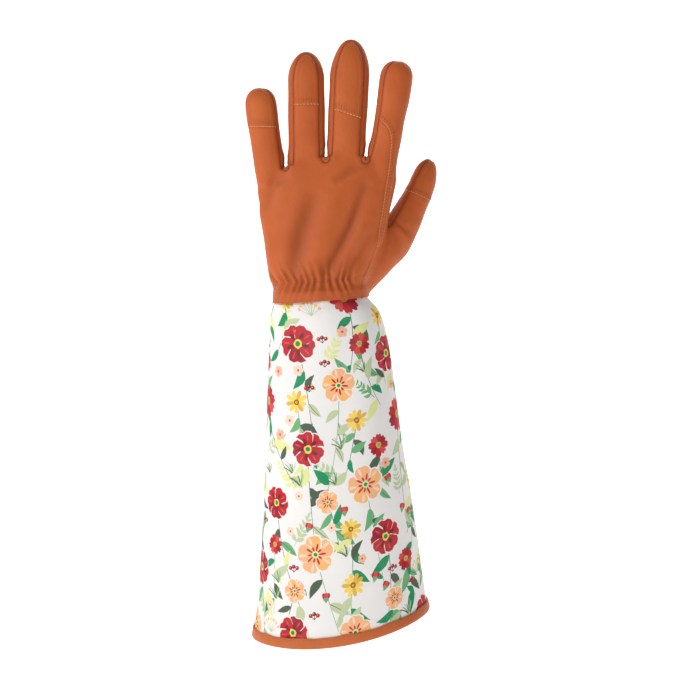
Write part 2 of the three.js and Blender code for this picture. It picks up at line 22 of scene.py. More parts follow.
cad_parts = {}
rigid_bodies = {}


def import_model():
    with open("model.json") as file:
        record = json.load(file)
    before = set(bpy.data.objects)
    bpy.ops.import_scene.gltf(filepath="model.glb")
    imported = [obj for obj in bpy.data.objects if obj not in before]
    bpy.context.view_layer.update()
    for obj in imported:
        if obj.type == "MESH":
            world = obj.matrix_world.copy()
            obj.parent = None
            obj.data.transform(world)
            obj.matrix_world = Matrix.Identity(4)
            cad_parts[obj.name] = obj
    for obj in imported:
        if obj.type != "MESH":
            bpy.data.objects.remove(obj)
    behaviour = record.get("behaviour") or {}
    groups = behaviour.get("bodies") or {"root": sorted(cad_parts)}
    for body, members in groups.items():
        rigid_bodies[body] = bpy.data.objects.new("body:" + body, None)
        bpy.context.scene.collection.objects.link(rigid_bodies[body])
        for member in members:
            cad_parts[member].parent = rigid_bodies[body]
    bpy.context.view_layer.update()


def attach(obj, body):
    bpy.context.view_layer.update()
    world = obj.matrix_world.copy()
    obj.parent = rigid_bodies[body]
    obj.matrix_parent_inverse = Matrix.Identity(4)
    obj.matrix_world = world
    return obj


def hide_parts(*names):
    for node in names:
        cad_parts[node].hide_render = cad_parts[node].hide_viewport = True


log = logging.getLogger("gauntlet")
MM = 0.001
Array = np.ndarray
Colour = tuple[float, float, float]
Spot = tuple[float, float, float]
Pair = tuple[float, float]
Place = tuple[float, float]
Outline = list[Place]
Object = bpy.types.Object
Material = bpy.types.Material


def srgb(*steps: int) -> Colour:
    """Turns a colour of 0 to 255 steps, as a screen shows it, into linear light."""
    shares = [step / 255 for step in steps]
    return tuple(s / 12.92 if s <= 0.04045 else ((s + 0.055) / 1.055) ** 2.4 for s in shares)


def smooth_curve(places: Sequence[float], values: Sequence[float], at: Array) -> Array:
    """Reads a table along a smooth curve that never overshoots its rows.

    Args:
        places: Rising places of the rows.
        values: The value in each row.
        at: Places to read, held to the table's ends.

    Returns:
        The value at each place.
    """
    xs, ys = np.asarray(places, float), np.asarray(values, float)
    step = np.diff(xs)
    slope = np.diff(ys) / step
    tangent = np.zeros_like(ys)
    same = slope[:-1] * slope[1:] > 0
    after, before = 2 * step[1:] + step[:-1], step[1:] + 2 * step[:-1]
    with np.errstate(divide="ignore", invalid="ignore"):
        mean = (after + before) / (after / slope[:-1] + before / slope[1:])
    tangent[1:-1] = np.where(same, mean, 0.0)
    tangent[0], tangent[-1] = slope[0], slope[-1]
    k = np.clip(np.searchsorted(xs, at, side="right") - 1, 0, len(xs) - 2)
    t = np.clip((at - xs[k]) / step[k], 0, 1)
    rise = (1 + 2 * t) * (1 - t) ** 2 * ys[k] + t * t * (3 - 2 * t) * ys[k + 1]
    return rise + step[k] * (t * (1 - t) ** 2 * tangent[k] - t * t * (1 - t) * tangent[k + 1])


def ease(low: float, high: float, value: Array) -> Array:
    """Rises smoothly from 0 at low to 1 at high."""
    t = np.clip((value - low) / (high - low), 0, 1)
    return t * t * (3 - 2 * t)


def bell(distance: Array, width: float) -> Array:
    """A round hump that is 1 at no distance and fades over width."""
    return np.exp(-((distance / width) ** 2))


def rounded(angle: Array, fullness: float) -> tuple[Array, Array]:
    """A rounded outline of half size 1.

    Args:
        angle: Where round the outline.
        fullness: 2 for an ellipse, and more for a squarer outline.

    Returns:
        How far across and how far up each place lies.
    """
    power = 2 / fullness
    cosine, sine = np.cos(angle), np.sin(angle)
    return np.sign(cosine) * np.abs(cosine) ** power, np.sign(sine) * np.abs(sine) ** power


def signed_distance(points: Array, outline: Array) -> Array:
    """How far points lie inside a closed outline in the front view, negative outside it.

    Args:
        points: Places as (n, 2).
        outline: Corners as (m, 2), in order.

    Returns:
        One distance for each point.
    """
    best = np.full(len(points), np.inf)
    inside = np.zeros(len(points), bool)
    for (ax, az), (bx, bz) in zip(outline, np.roll(outline, -1, axis=0)):
        ex, ez = bx - ax, bz - az
        px, pz = points[:, 0] - ax, points[:, 1] - az
        t = np.clip((px * ex + pz * ez) / (ex * ex + ez * ez + 1e-12), 0, 1)
        best = np.minimum(best, (px - ex * t) ** 2 + (pz - ez * t) ** 2)
        if abs(bz - az) > 1e-9:
            spans = (az <= points[:, 1]) != (bz <= points[:, 1])
            inside ^= spans & (points[:, 0] < ax + (points[:, 1] - az) / (bz - az) * ex)
    return np.where(inside, 1.0, -1.0) * np.sqrt(best)


def linked(data: bpy.types.ID) -> Object:
    """Puts data in the scene.

    Args:
        data: A mesh, a light or a camera.

    Returns:
        A new object of the same name.
    """
    obj = bpy.data.objects.new(data.name, data)
    bpy.context.scene.collection.objects.link(obj)
    return obj


@dataclass
class Mesh:
    """A mesh in millimetres before Blender has it."""

    points: Array
    faces: list[Sequence[int]]

    def joined(self, other: Mesh) -> Mesh:
        """Both meshes as one."""
        moved = [tuple(corner + len(self.points) for corner in face) for face in other.faces]
        return Mesh(np.vstack([self.points, other.points]), [*self.faces, *moved])

    def placed(self, name: str) -> Object:
        """Makes a Blender object of the mesh, in metres, at the origin.

        Args:
            name: The object's name.

        Returns:
            The object, in the scene.
        """
        data = bpy.data.meshes.new(name)
        data.from_pydata((self.points * MM).tolist(), [], [tuple(map(int, face)) for face in self.faces])
        data.update()
        return linked(data)


def loft(rings: Array, capped: bool = True, looped: bool = False) -> Mesh:
    """Skins rings of points.

    Args:
        rings: Points as (rings, steps, 3), anticlockwise seen from the last ring.
        capped: Whether both ends are closed by a fan.
        looped: Whether the last ring joins the first.

    Returns:
        The skin.
    """
    count, steps = rings.shape[:2]
    faces: list[Sequence[int]] = []
    for r in range(count if looped else count - 1):
        low, high = r * steps, (r + 1) % count * steps
        faces += [(low + i, low + (i + 1) % steps, high + (i + 1) % steps, high + i) for i in range(steps)]
    points = rings.reshape(-1, 3)
    if capped:
        first, last = rings[0].mean(0), rings[-1].mean(0)
        end = (count - 1) * steps
        faces += [(count * steps, (i + 1) % steps, i) for i in range(steps)]
        faces += [(count * steps + 1, end + i, end + (i + 1) % steps) for i in range(steps)]
        points = np.vstack([points, first, last])
    return Mesh(points, faces)


def evaluated_mesh(obj: Object) -> bpy.types.Mesh:
    """Turns a helper object into a plain mesh.

    Args:
        obj: The helper, which is removed with its own mesh.

    Returns:
        The mesh that its modifiers make.
    """
    graph = bpy.context.evaluated_depsgraph_get()
    made = bpy.data.meshes.new_from_object(obj.evaluated_get(graph), depsgraph=graph)
    data = obj.data
    bpy.data.objects.remove(obj)
    bpy.data.meshes.remove(data)
    return made


def edges_of(triangles: Array) -> Array:
    """Each edge of the triangles once."""
    pairs = np.vstack([triangles[:, [0, 1]], triangles[:, [1, 2]], triangles[:, [2, 0]]])
    return np.unique(np.sort(pairs, axis=1), axis=0)


def neighbour_mean(points: Array, edges: Array) -> Array:
    """The mean of each point's neighbours.

    Args:
        points: The points.
        edges: Each edge once.

    Returns:
        One place for each point.
    """
    a, b = edges.T
    size = len(points)
    count = np.bincount(a, minlength=size) + np.bincount(b, minlength=size)
    total = [np.bincount(a, points[b, k], size) + np.bincount(b, points[a, k], size) for k in range(3)]
    return np.stack(total, axis=1) / count[:, None]


def relaxed(points: Array, triangles: Array, rounds: int, strength: float) -> Array:
    """Moves each point towards the mean of its neighbours.

    Args:
        points: The points.
        triangles: The triangles that join them.
        rounds: How often they move.
        strength: The share of the way that they go each time.

    Returns:
        The smoother points.
    """
    edges = edges_of(triangles)
    for _ in range(rounds):
        points = points + strength * (neighbour_mean(points, edges) - points)
    return points


def unit(ways: Array) -> Array:
    """The ways at a length of 1."""
    return ways / np.maximum(np.linalg.norm(ways, axis=1), 1e-12)[:, None]


def normals_of(points: Array, triangles: Array) -> Array:
    """Normals at the points, weighted by the triangles' areas.

    Args:
        points: The points.
        triangles: The triangles that join them.

    Returns:
        One unit normal for each point.
    """
    a, b, c = (points[triangles[:, k]] for k in range(3))
    across = np.cross(b - a, c - a)
    size = len(points)
    total = [sum(np.bincount(triangles[:, k], across[:, j], size) for k in range(3)) for j in range(3)]
    return unit(np.stack(total, axis=1))


@dataclass(frozen=True)
class Crossings:
    """Where the edges of triangles pass the zero of a value.

    Each place lies between points a and b, share of the way from a, and cuts holds the number of the place on
    each of a triangle's three edges, or -1.
    """

    a: Array
    b: Array
    share: Array
    cuts: Array

    def between(self, values: Array) -> Array:
        """Reads rows of values, one for each point, at the places."""
        return values[self.a] * (1 - self.share) + values[self.b] * self.share


def crossings_of(value: Array, triangles: Array, keep: Array | bool = True) -> Crossings:
    """Finds where the triangles' edges pass zero.

    Args:
        value: One value for each point.
        triangles: The triangles.
        keep: Which points the crossed edges may join.

    Returns:
        The places, each once.
    """
    ends = np.stack([triangles, np.roll(triangles, -1, axis=1)], axis=2).reshape(-1, 2)
    low, high = ends.min(1).astype(np.int64), ends.max(1).astype(np.int64)
    allowed = np.broadcast_to(keep, value.shape)
    crossing = (value[low] * value[high] < 0) & allowed[low] & allowed[high]
    keys, back = np.unique(low[crossing] * len(value) + high[crossing], return_inverse=True)
    a, b = keys // len(value), keys % len(value)
    share = (value[a] / (value[a] - value[b]))[:, None]
    cuts = np.full(len(ends), -1, np.int64)
    cuts[crossing] = back
    return Crossings(a, b, share, cuts.reshape(-1, 3))


def cut_along(columns: Array, triangles: Array, which: int, snap: float) -> tuple[Array, Array]:
    """Cuts triangles where one column of per-point values passes zero, so that the line becomes edges.

    Args:
        columns: One row for each point: its place and its values in the fields.
        triangles: The mesh's triangles.
        which: The column whose zero line is cut.
        snap: Values this near zero count as on the line, and get no new point.

    Returns:
        The rows with the new points, and the triangles.
    """
    columns = columns.copy()
    value = columns[:, which]
    value[np.abs(value) < snap] = 0.0
    crossed = crossings_of(value, triangles)
    fresh = crossed.between(columns)
    fresh[:, which] = 0.0
    cuts = np.where(crossed.cuts < 0, -1, crossed.cuts + len(columns))
    number = (cuts >= 0).sum(1)
    parts = [triangles[number == 0]]
    for k in range(3):
        turned = np.roll(triangles, -k, axis=1)
        turned_cuts = np.roll(cuts, -k, axis=1)
        p, q, r = turned.T
        on_pq, on_qr, on_rp = turned_cuts.T
        one = (number == 1) & (on_qr >= 0)
        parts += [np.stack([p, q, on_qr], 1)[one], np.stack([p, on_qr, r], 1)[one]]
        two = (number == 2) & (on_pq >= 0) & (on_rp >= 0)
        parts += [
            np.stack([p, on_pq, on_rp], 1)[two],
            np.stack([on_pq, q, r], 1)[two],
            np.stack([on_pq, r, on_rp], 1)[two],
        ]
    return np.vstack([columns, fresh]), np.vstack(parts)


@dataclass(frozen=True)
class Finger:
    """One finger: its root's share of the palm's width, its lean in degrees, and sizes from there on.

    The spread is how far aside it stands while the hand is fused, so that narrow gaps stay open.
    """

    name: str
    root: float
    length: float
    lean: float
    bow: float
    widths: tuple[float, float, float]
    depth: float
    tip_round: float
    strip: float
    open_side: int
    patch: float
    patch_slope: float
    spread: float
    square: float

    @property
    def straight(self) -> float:
        """The length before the round tip."""
        return self.length - self.tip_round

    def half_width(self, along: Array) -> Array:
        """Half the width at a distance from the root."""
        return smooth_curve((0, 0.5, 0.8, 1), (*self.widths, self.widths[-1]), along / self.length) / 2

    def tip_share(self, along: Array) -> Array:
        """The share of the full width that the round tip leaves."""
        share = np.clip(along - self.straight, 0, None) / self.tip_round
        return np.clip(1 - share**self.square, 0, 1) ** (1 / self.square)


FINGERS = (
    Finger("pinky", -0.372, 72.7, -7.7, 0.0, (22.0, 23.0, 23.6), 20, 14, 0.16, -1, 29.9, -0.15, -2.4, 2.4),
    Finger("ring", -0.125, 99.3, -0.6, 0.0, (27.4, 27.6, 27.6), 23, 22, 0.28, 0, 40.4, 0.0, -0.6, 2.0),
    Finger("middle", 0.131, 108.9, 3.0, 0.0, (27.4, 29.4, 30.0), 24, 30, 0.26, 0, 56.8, -0.27, 1.1, 2.0),
    Finger("index", 0.36, 93.7, 10.2, 0.8, (23.6, 22.4, 25.0), 22, 15, 0.24, 1, 0, 0.0, 2.5, 2.5),
)

# The palm from the wrist up: the share of its length, of its width, of its depth to the back and to the front,
# and how far aside it lies.
PALM_ROWS = (
    (0.11, 0.66, 0.57, 0.61, -0.034), (0.15, 0.7, 0.56, 0.6, -0.038),
    (0.21, 0.735, 0.53, 0.58, -0.03), (0.31, 0.79, 0.48, 0.56, -0.018),
    (0.45, 0.86, 0.45, 0.53, -0.004), (0.6, 0.905, 0.42, 0.48, -0.004),
    (0.75, 0.94, 0.38, 0.42, 0.008), (0.88, 0.97, 0.33, 0.34, 0.01),
    (0.97, 0.965, 0.28, 0.28, 0.0125), (1.06, 0.94, 0.24, 0.24, 0.01),
)

# The thumb from the wrist to its last joint: shares of the palm's width, depth and length, then of its own.
THUMB_ROWS = (
    (0.21, 0.12, 0.11, 0.8, 0.8), (0.37, 0.26, 0.285, 0.9, 1.0), (0.468, 0.34, 0.4, 1.0, 0.97),
    (0.55, 0.41, 0.53, 0.89, 0.87), (0.608, 0.46, 0.63, 0.77, 0.8), (0.678, 0.51, 0.77, 0.67, 0.74),
    (0.735, 0.55, 0.97, 0.63, 0.68),
)
THUMB_OUTLINE = (
    (0.45, 0.62), (0.38, 0.5), (0.36, 0.36), (0.42, 0.24), (0.56, 0.16),
    (0.95, 0.16), (0.95, 1.2), (0.62, 1.2), (0.52, 0.8),
)

# The topstitched edge of the back leather, from the wrist up: sideways and up, as shares of the palm's size.
WRAP_ROWS = (
    (0.255, -0.3), (0.255, 0.15), (0.29, 0.22), (0.35, 0.39),
    (0.38, 0.56), (0.42, 0.81), (0.445, 0.99), (0.45, 1.1),
    (0.435, 1.165), (0.4, 1.205), (0.345, 1.26),
)

# Soft ridges and hollows on the back of the hand: three places on the way down, sideways and up as shares of
# the palm's size, then the height in millimetres and the width as a share.
FOLD_ROWS = (
    ((-0.16, 0.69), (-0.25, 0.46), (-0.3, 0.22), 1.7, 0.06),
    ((-0.08, 0.7), (-0.16, 0.47), (-0.22, 0.22), -2.4, 0.06),
    ((0.07, 0.77), (0.0, 0.48), (-0.08, 0.22), 2.7, 0.08),
    ((0.28, 0.78), (0.18, 0.51), (0.02, 0.22), -2.9, 0.038),
    ((0.3, 0.58), (0.21, 0.42), (0.07, 0.21), 1.9, 0.042),
    ((0.31, 0.44), (0.24, 0.31), (0.16, 0.19), -1.6, 0.032),
    ((0.34, 0.42), (0.25, 0.28), (0.19, 0.19), 1.2, 0.032),
    ((-0.28, 0.85), (-0.36, 0.8), (-0.41, 0.66), -1.6, 0.035),
    ((-0.33, 0.74), (-0.33, 0.58), (-0.35, 0.27), 0.6, 0.06),
    ((0.27, 0.9), (0.19, 0.86), (0.11, 0.81), 1.1, 0.02),
    ((0.22, 0.93), (0.16, 0.885), (0.09, 0.83), -1.1, 0.03),
)

# The creases that fan out from the thumb's web: the way and the spread in degrees, round the height.
WEB_CREASES = ((-88, 1.2, 7), (-104, -1.0, 8), (-69, -1.3, 9), (-51, 1.3, 6), (-33, -1.0, 9), (-118, 0.8, 8))


@dataclass(frozen=True)
class HandForm:
    """The outer form of the leather hand, without seams and gathers.

    The wrist's ring rises towards the thumb by wrist_rise, and the leather's lower edge by edge_rise more,
    from wrist_lift above the cuff. Above bend_from the rings bend to the crotches' arch, and between the two
    heights of parting the fingers part while they are fused. Near each crotch web_reach is how widely that is
    undone, and web_close how far each gap closes again over web_width.
    """

    cuff_length: float = 243
    wrist_x: float = -16
    wrist_width: float = 72
    wrist_depth: float = 56
    wrist_rise: float = 0.06
    edge_rise: float = 0.01
    wrist_lift: float = 1.4
    hidden: float = 16
    palm_x: float = -12.5
    palm_width: float = 107
    palm_depth: float = 44
    palm_length: float = 110
    palm_fullness: float = 2.35
    crotch_arch: float = 12
    crotch_peak: float = 0.15
    finger_root: float = 0.79
    finger_fullness: float = 2.2
    curl: float = 9
    thumb_width: float = 29
    thumb_depth: float = 31
    thumb_round: float = 16
    thumb_side: float = 0.56
    bend_from: float = 300
    parting: Pair = (338, 351)
    voxel: float = 0.95
    web_reach: float = 4.0
    web_close: tuple[float, float, float] = (2.5, 2.3, 2.5)
    web_width: float = 2.8

    def side(self, share: Array | float) -> Array | float:
        """The place along X of a share of the palm's width."""
        return self.palm_x + share * self.palm_width

    def height(self, share: Array | float) -> Array | float:
        """The place along Z of a share of the palm's length."""
        return self.cuff_length + share * self.palm_length

    def curl_at(self, z: Array) -> Array:
        """How far the middle surface has curled to the palm's side at a height."""
        longest = max(f.length for f in FINGERS)
        return self.curl * (np.clip(z - self.height(self.finger_root), 0, None) / longest) ** 2

    def crotch_line(self, x: Array) -> Array:
        """The height of the finger crotches at a place across the palm."""
        away = (x - self.side(self.crotch_peak)) / (self.palm_width / 2)
        return self.height(1) - self.crotch_arch * away**2

    def wrist_edge(self, x: Array) -> Array:
        """The height of the leather's lower edge."""
        return self.cuff_length + self.wrist_lift + (self.wrist_rise + self.edge_rise) * (x - self.wrist_x)

    def axis(self, f: Finger, along: Array, side: Array | float = 0.0) -> Array:
        """Places beside a finger's centre line, in the front view.

        Args:
            f: The finger.
            along: How far from its root.
            side: How far to the side of the line.

        Returns:
            The places' x and z.
        """
        lean = math.radians(f.lean)
        run = np.array([math.sin(lean), math.cos(lean)])
        across = np.array([run[1], -run[0]])
        root = np.array([self.side(f.root), self.height(self.finger_root)])
        moved = side + f.bow * np.sin(np.pi * along / f.length)
        return root + np.multiply.outer(along, run) + np.multiply.outer(moved, across)

    def across_finger(self, f: Finger, points: Array) -> Array:
        """Measures places in the front view across a finger.

        Args:
            f: The finger.
            points: The places' x and z.

        Returns:
            How far across the finger they lie.
        """
        lean = math.radians(f.lean)
        away = points - np.array([self.side(f.root), self.height(self.finger_root)])
        along = away @ np.array([math.sin(lean), math.cos(lean)])
        across = away @ np.array([math.cos(lean), -math.sin(lean)])
        return across - f.bow * np.sin(np.pi * np.clip(along, 0, f.length) / f.length)

    def palm(self) -> Mesh:
        """The palm and wrist, closed at both ends.

        Returns:
            Their skin.
        """
        rows = np.array(PALM_ROWS)
        low = self.cuff_length
        heights = [low - self.hidden, low, low + self.hidden / 2, *self.height(rows[:, 0])]
        wrist = (self.wrist_width / 2, self.wrist_depth / 2, self.wrist_depth / 2, self.wrist_x)
        half, depths = rows[:, 1] * self.palm_width / 2, rows[:, 2:4] * self.palm_depth
        table = np.vstack([[wrist] * 3, np.column_stack([half, depths, self.side(rows[:, 4])])])
        h = np.linspace(heights[0], self.height(1), 90)
        half, back, front, middle = (smooth_curve(heights, table[:, k], h)[:, None] for k in range(4))
        dx, dy = rounded(np.linspace(0, 2 * np.pi, 120, endpoint=False), self.palm_fullness)
        x = middle + half * dx
        y = self.curl_at(h)[:, None] + np.where(dy < 0, back, front) * dy
        up = (h[:, None] - self.cuff_length) / self.palm_length
        z = h[:, None] + self.wrist_rise * np.clip(1 - 3 * up, 0, 1) * half * dx
        start = self.bend_from
        bend = np.clip((h[:, None] - start) / (self.height(1) - start), 0, 1)
        z = np.where(bend > 0, start + (self.crotch_line(x) - start) * bend, z)
        centres = [self.side(f.root) for f in FINGERS]
        x = x + np.interp(x, centres, [f.spread for f in FINGERS]) * self.parted(z)
        return loft(np.stack(np.broadcast_arrays(x, y, z), axis=2))

    def finger(self, f: Finger) -> Mesh:
        """One finger from inside the palm to its tip.

        Args:
            f: The finger.

        Returns:
            Its closed skin.
        """
        ends = np.sin(np.radians(np.linspace(0, 89, 16)))
        along = np.concatenate([np.linspace(0, f.straight, 26)[:-1], f.straight + f.tip_round * ends])
        share = f.tip_share(along)
        place = self.axis(f, along)
        dx, dy = rounded(np.linspace(0, 2 * np.pi, 48, endpoint=False), self.finger_fullness)
        lean = math.radians(f.lean)
        wide = (f.half_width(along) * share)[:, None] * dx
        x = place[:, :1] + wide * math.cos(lean)
        z = place[:, 1:] - wide * math.sin(lean)
        y = self.curl_at(place[:, 1])[:, None] + (f.depth / 2 * share)[:, None] * dy
        return loft(np.stack([x + f.spread * self.parted(z), y, z], axis=2))

    def parted(self, z: Array) -> Array:
        """The share of the fingers' spread at a height."""
        return ease(*self.parting, z)

    def line_between(self, a: Finger, b: Finger, z: Array) -> Array:
        """The middle of the gap between two fingers while they are spread.

        Args:
            a: The finger on the left.
            b: The finger on the right.
            z: The heights.

        Returns:
            The middle's x at each height.
        """
        edges = []
        for f, side in ((a, 1), (b, -1)):
            along = np.clip((z - self.height(self.finger_root)) / math.cos(math.radians(f.lean)), 0, f.length)
            edges.append(self.axis(f, along, side * f.half_width(along))[..., 0] + f.spread)
        return (edges[0] + edges[1]) / 2

    def thumb_line(self, share: Array) -> tuple[Array, ...]:
        """The thumb's centre line.

        Args:
            share: Where on it, as shares of its rows.

        Returns:
            The places, and the ways along, across and out.
        """
        rows = np.array(THUMB_ROWS)
        x, y, z = self.side(rows[:, 0]), rows[:, 1] * self.palm_depth, self.height(rows[:, 2])
        corners = np.column_stack([x, y, z])
        knots = np.linspace(0, 1, len(rows))

        def place(t: Array) -> Array:
            """Places on the line."""
            return np.stack([smooth_curve(knots, corners[:, k], t) for k in range(3)], axis=1)

        low, high = np.clip(share - 0.02, 0, 1), np.clip(share + 0.02, 0, 1)
        along = place(high) - place(low)
        along /= np.linalg.norm(along, axis=1)[:, None]
        across = np.stack([along[:, 2], np.zeros(len(share)), -along[:, 0]], axis=1)
        across /= np.linalg.norm(across, axis=1)[:, None]
        return place(share), along, across, np.cross(along, across)

    def thumb(self) -> Mesh:
        """The thumb from inside the wrist to its tip.

        Returns:
            Its closed skin.
        """
        rows = np.array(THUMB_ROWS)
        knots = np.linspace(0, 1, len(rows))
        last = self.thumb_line(np.array([0.0, 1.0]))
        reach = np.linalg.norm(np.diff(self.thumb_line(knots)[0], axis=0), axis=1).sum()
        straight = 1 - self.thumb_round / reach
        t = np.linspace(0, straight, 34)
        centre, along, across, out = self.thumb_line(t)
        angles = np.radians(np.linspace(90, 2, 14))[1:]
        tip, tip_along = last[0][-1], last[1][-1]
        start = tip - tip_along * self.thumb_round
        blend = ease(0.6, 1.0, t / straight)[:, None]
        centre = centre + blend * (start - centre[-1])
        centre = np.vstack([centre, start + tip_along * self.thumb_round * np.cos(angles)[:, None]])
        across = np.vstack([across, np.repeat(last[2][-1:], len(angles), 0)])
        out = np.vstack([out, np.repeat(last[3][-1:], len(angles), 0)])
        at = np.append(t, np.ones(len(angles)))
        wide = smooth_curve(knots, rows[:, 3], at) * self.thumb_width / 2
        deep = smooth_curve(knots, rows[:, 4], at) * self.thumb_depth / 2
        share = np.append(np.ones(len(t)), np.sin(angles))
        dx, dy = rounded(np.linspace(0, 2 * np.pi, 48, endpoint=False), self.finger_fullness)
        rings = (
            centre[:, None]
            + ((wide * share)[:, None] * dx)[:, :, None] * across[:, None]
            + ((deep * share)[:, None] * dy)[:, :, None] * out[:, None]
        )
        return loft(rings)

    def fused(self) -> tuple[Array, Array]:
        """The palm, fingers and thumb as one smooth closed skin.

        Returns:
            Its points and triangles.
        """
        whole = self.palm()
        for f in FINGERS:
            whole = whole.joined(self.finger(f))
        obj = whole.joined(self.thumb()).placed("hand_form")
        fuse = obj.modifiers.new("Fuse", "REMESH")
        fuse.mode = "VOXEL"
        fuse.voxel_size = self.voxel * MM
        data = evaluated_mesh(obj)
        points = np.empty(len(data.vertices) * 3)
        data.vertices.foreach_get("co", points)
        points = points.reshape(-1, 3) / MM
        data.calc_loop_triangles()
        triangles = np.empty(len(data.loop_triangles) * 3, np.int32)
        data.loop_triangles.foreach_get("vertices", triangles)
        triangles = triangles.reshape(-1, 3)
        bpy.data.meshes.remove(data)
        x, z = points[:, 0], points[:, 2]
        half = 0.01 + self.web_reach * (1 - ease(-1, 6, z - self.crotch_line(x)))
        spread = np.full(len(points), FINGERS[0].spread)
        for a, b in zip(FINGERS[:-1], FINGERS[1:]):
            past = np.clip((x - self.line_between(a, b, z)) / (2 * half) + 0.5, 0, 1)
            spread += (b.spread - a.spread) * past
        thumb = (x > self.side(self.thumb_side)) & (z < self.parting[1])
        points[:, 0] -= np.where(thumb, 0, spread) * self.parted(z)
        for close, a, b in zip(self.web_close, FINGERS[:-1], FINGERS[1:]):
            root = (self.axis(a, np.zeros(1)) + self.axis(b, np.zeros(1)))[0] / 2
            middle = self.line_between(a, b, z) - self.parted(z) * (a.spread + b.spread) / 2
            away = x - middle
            above = z - self.crotch_line(root[0])
            near = bell(away, 8.0) * ease(-8, -1, above) * ease(13, 1, above)
            points[:, 0] -= close * np.tanh(away / self.web_width) * np.where(thumb, 0, near)
        return relaxed(points, triangles, 8, 0.5), triangles


class Field(Enum):
    """The columns of a skin's table after its place: the lines that the leather is cut along."""

    EDGE = 3
    PANEL = 4
    BACK = 5
    PINKY_TIP = 6
    RING_TIP = 7
    MIDDLE_TIP = 8
    THUMB_FRONT = 9
    THUMB_TIP = 10
    RING_LINE = 11
    MIDDLE_LINE = 12


@dataclass
class Seams:
    """Where the leather of the hand is cut, as distances inside each piece in the front view.

    Each crotch hole has a radius, and how far it lies under the crotch. The thumb's front piece turns by
    thumb_turn round the thumb's line, seen at thumb_at, and its patch starts at thumb_patch_from.
    """

    form: HandForm
    crotch_holes: tuple[tuple[float, float], ...] = ((2.4, 1.4), (3.2, 2.2), (3.4, 2.8))
    crotch_drop: float = 0.6
    tip_inset: float = 2.0
    thumb_turn: float = 0.9
    thumb_at: float = 0.8
    thumb_patch_from: float = 0.765

    def finger_leather(self, f: Finger) -> Array:
        """The outline of one finger's back and front leather, without the side strips.

        Args:
            f: The finger.

        Returns:
            The outline's corners.
        """
        end = f.straight - (0.0 if f.open_side else self.tip_inset)
        angles = np.radians(np.linspace(90, 0, 16))
        along = np.concatenate([np.linspace(-12, end, 20)[:-1], end + f.tip_round * np.cos(angles)])
        share = np.concatenate([np.ones(19), np.sin(angles)])
        half = f.half_width(along) * (1 - f.strip) * share
        right, left = self.form.axis(f, along, half), self.form.axis(f, along, -half)
        if not f.open_side:
            return np.vstack([right, left[::-1]])
        far = 300.0 * f.open_side
        edge = left if f.open_side > 0 else right
        tip = edge[-1]
        return np.vstack([edge, [tip[0], 800], [far, 800], [far, self.form.height(0.5)]])

    def under_crotches(self) -> Array:
        """The outline of all that lies under the finger crotches.

        Returns:
            The outline's corners.
        """
        x = np.linspace(-110, 110, 60)
        line = np.stack([x, self.form.crotch_line(x) - self.crotch_drop], axis=1)
        return np.vstack([[-110, -100], [110, -100], line[::-1]])

    def crotches(self) -> list[Array]:
        """The middle of each crotch between two fingers.

        Returns:
            Their x and z.
        """
        form = self.form
        rise = form.height(0.98) - form.height(form.finger_root)
        found = []
        for pair in zip(FINGERS[:-1], FINGERS[1:]):
            sides = []
            for f, side in zip(pair, (1, -1)):
                along = np.array([rise / math.cos(math.radians(f.lean))])
                sides.append(form.axis(f, along, side * f.half_width(along))[0][0])
            x = (sides[0] + sides[1]) / 2
            found.append(np.array([x, float(form.crotch_line(np.array(x)))]))
        return found

    def wrap_line(self, up: Array) -> Array:
        """Places of the topstitched edge at heights, as shares of the palm's length."""
        sides, ups = np.array(WRAP_ROWS).T
        return np.stack([self.form.side(smooth_curve(ups, sides, up)), self.form.height(up)], axis=1)

    def patch_box(self, f: Finger) -> Array:
        """The outline of all that lies past a fingertip patch's lower edge.

        Args:
            f: The finger.

        Returns:
            The outline's four corners.
        """
        reach = 0.62 * f.widths[1]
        low, high, slant = f.length - f.patch, f.length + reach, f.patch_slope * reach
        corners = ((low - slant, -reach), (low + slant, reach), (high, reach), (high, -reach))
        return np.array([self.form.axis(f, np.array([along]), side)[0] for along, side in corners])

    def thumb_box(self) -> Array:
        """The outline round the thumb."""
        return np.array([(self.form.side(across), self.form.height(up)) for across, up in THUMB_OUTLINE])

    def columns(self, points: Array) -> Array:
        """Measures points by every field.

        Args:
            points: The points.

        Returns:
            Each point's place, and beside it its value in each field.
        """
        form = self.form
        flat = points[:, [0, 2]]
        edge = points[:, 2] - form.wrist_edge(points[:, 0])
        panel = signed_distance(flat, self.under_crotches())
        for f in FINGERS:
            panel = np.maximum(panel, signed_distance(flat, self.finger_leather(f)))
        for middle, (radius, drop) in zip(self.crotches(), self.crotch_holes):
            hole = np.linalg.norm(flat - middle + (0, drop), axis=1) - radius
            panel = np.minimum(panel, hole)
        line = self.wrap_line(np.linspace(-0.3, 1.26, 60))
        wrap = np.vstack([[-300, -300], [line[0][0], -300], line, [line[-1][0], 800], [-300, 800]])
        half = form.curl_at(points[:, 2]) - points[:, 1]
        back = np.minimum(np.minimum(panel, signed_distance(flat, wrap)), half)
        tips = [np.minimum(back, signed_distance(flat, self.patch_box(f))) for f in FINGERS if f.patch]
        thumb = signed_distance(flat, self.thumb_box())
        place, along, across, out = (v[0] for v in form.thumb_line(np.array([self.thumb_at])))
        facing = -math.sin(self.thumb_turn) * across + math.cos(self.thumb_turn) * out
        front = np.minimum.reduce([panel, -back, thumb, (points - place) @ facing])
        cut = form.thumb_line(np.array([self.thumb_patch_from]))[0][0]
        tip = np.minimum.reduce([panel, -back, -front, thumb, (points - cut) @ along])
        lines = [np.where(panel < 1.5, form.across_finger(f, flat), 9.0) for f in FINGERS[1:3]]
        return np.column_stack([points, edge, panel, back, *tips, front, tip, *lines])


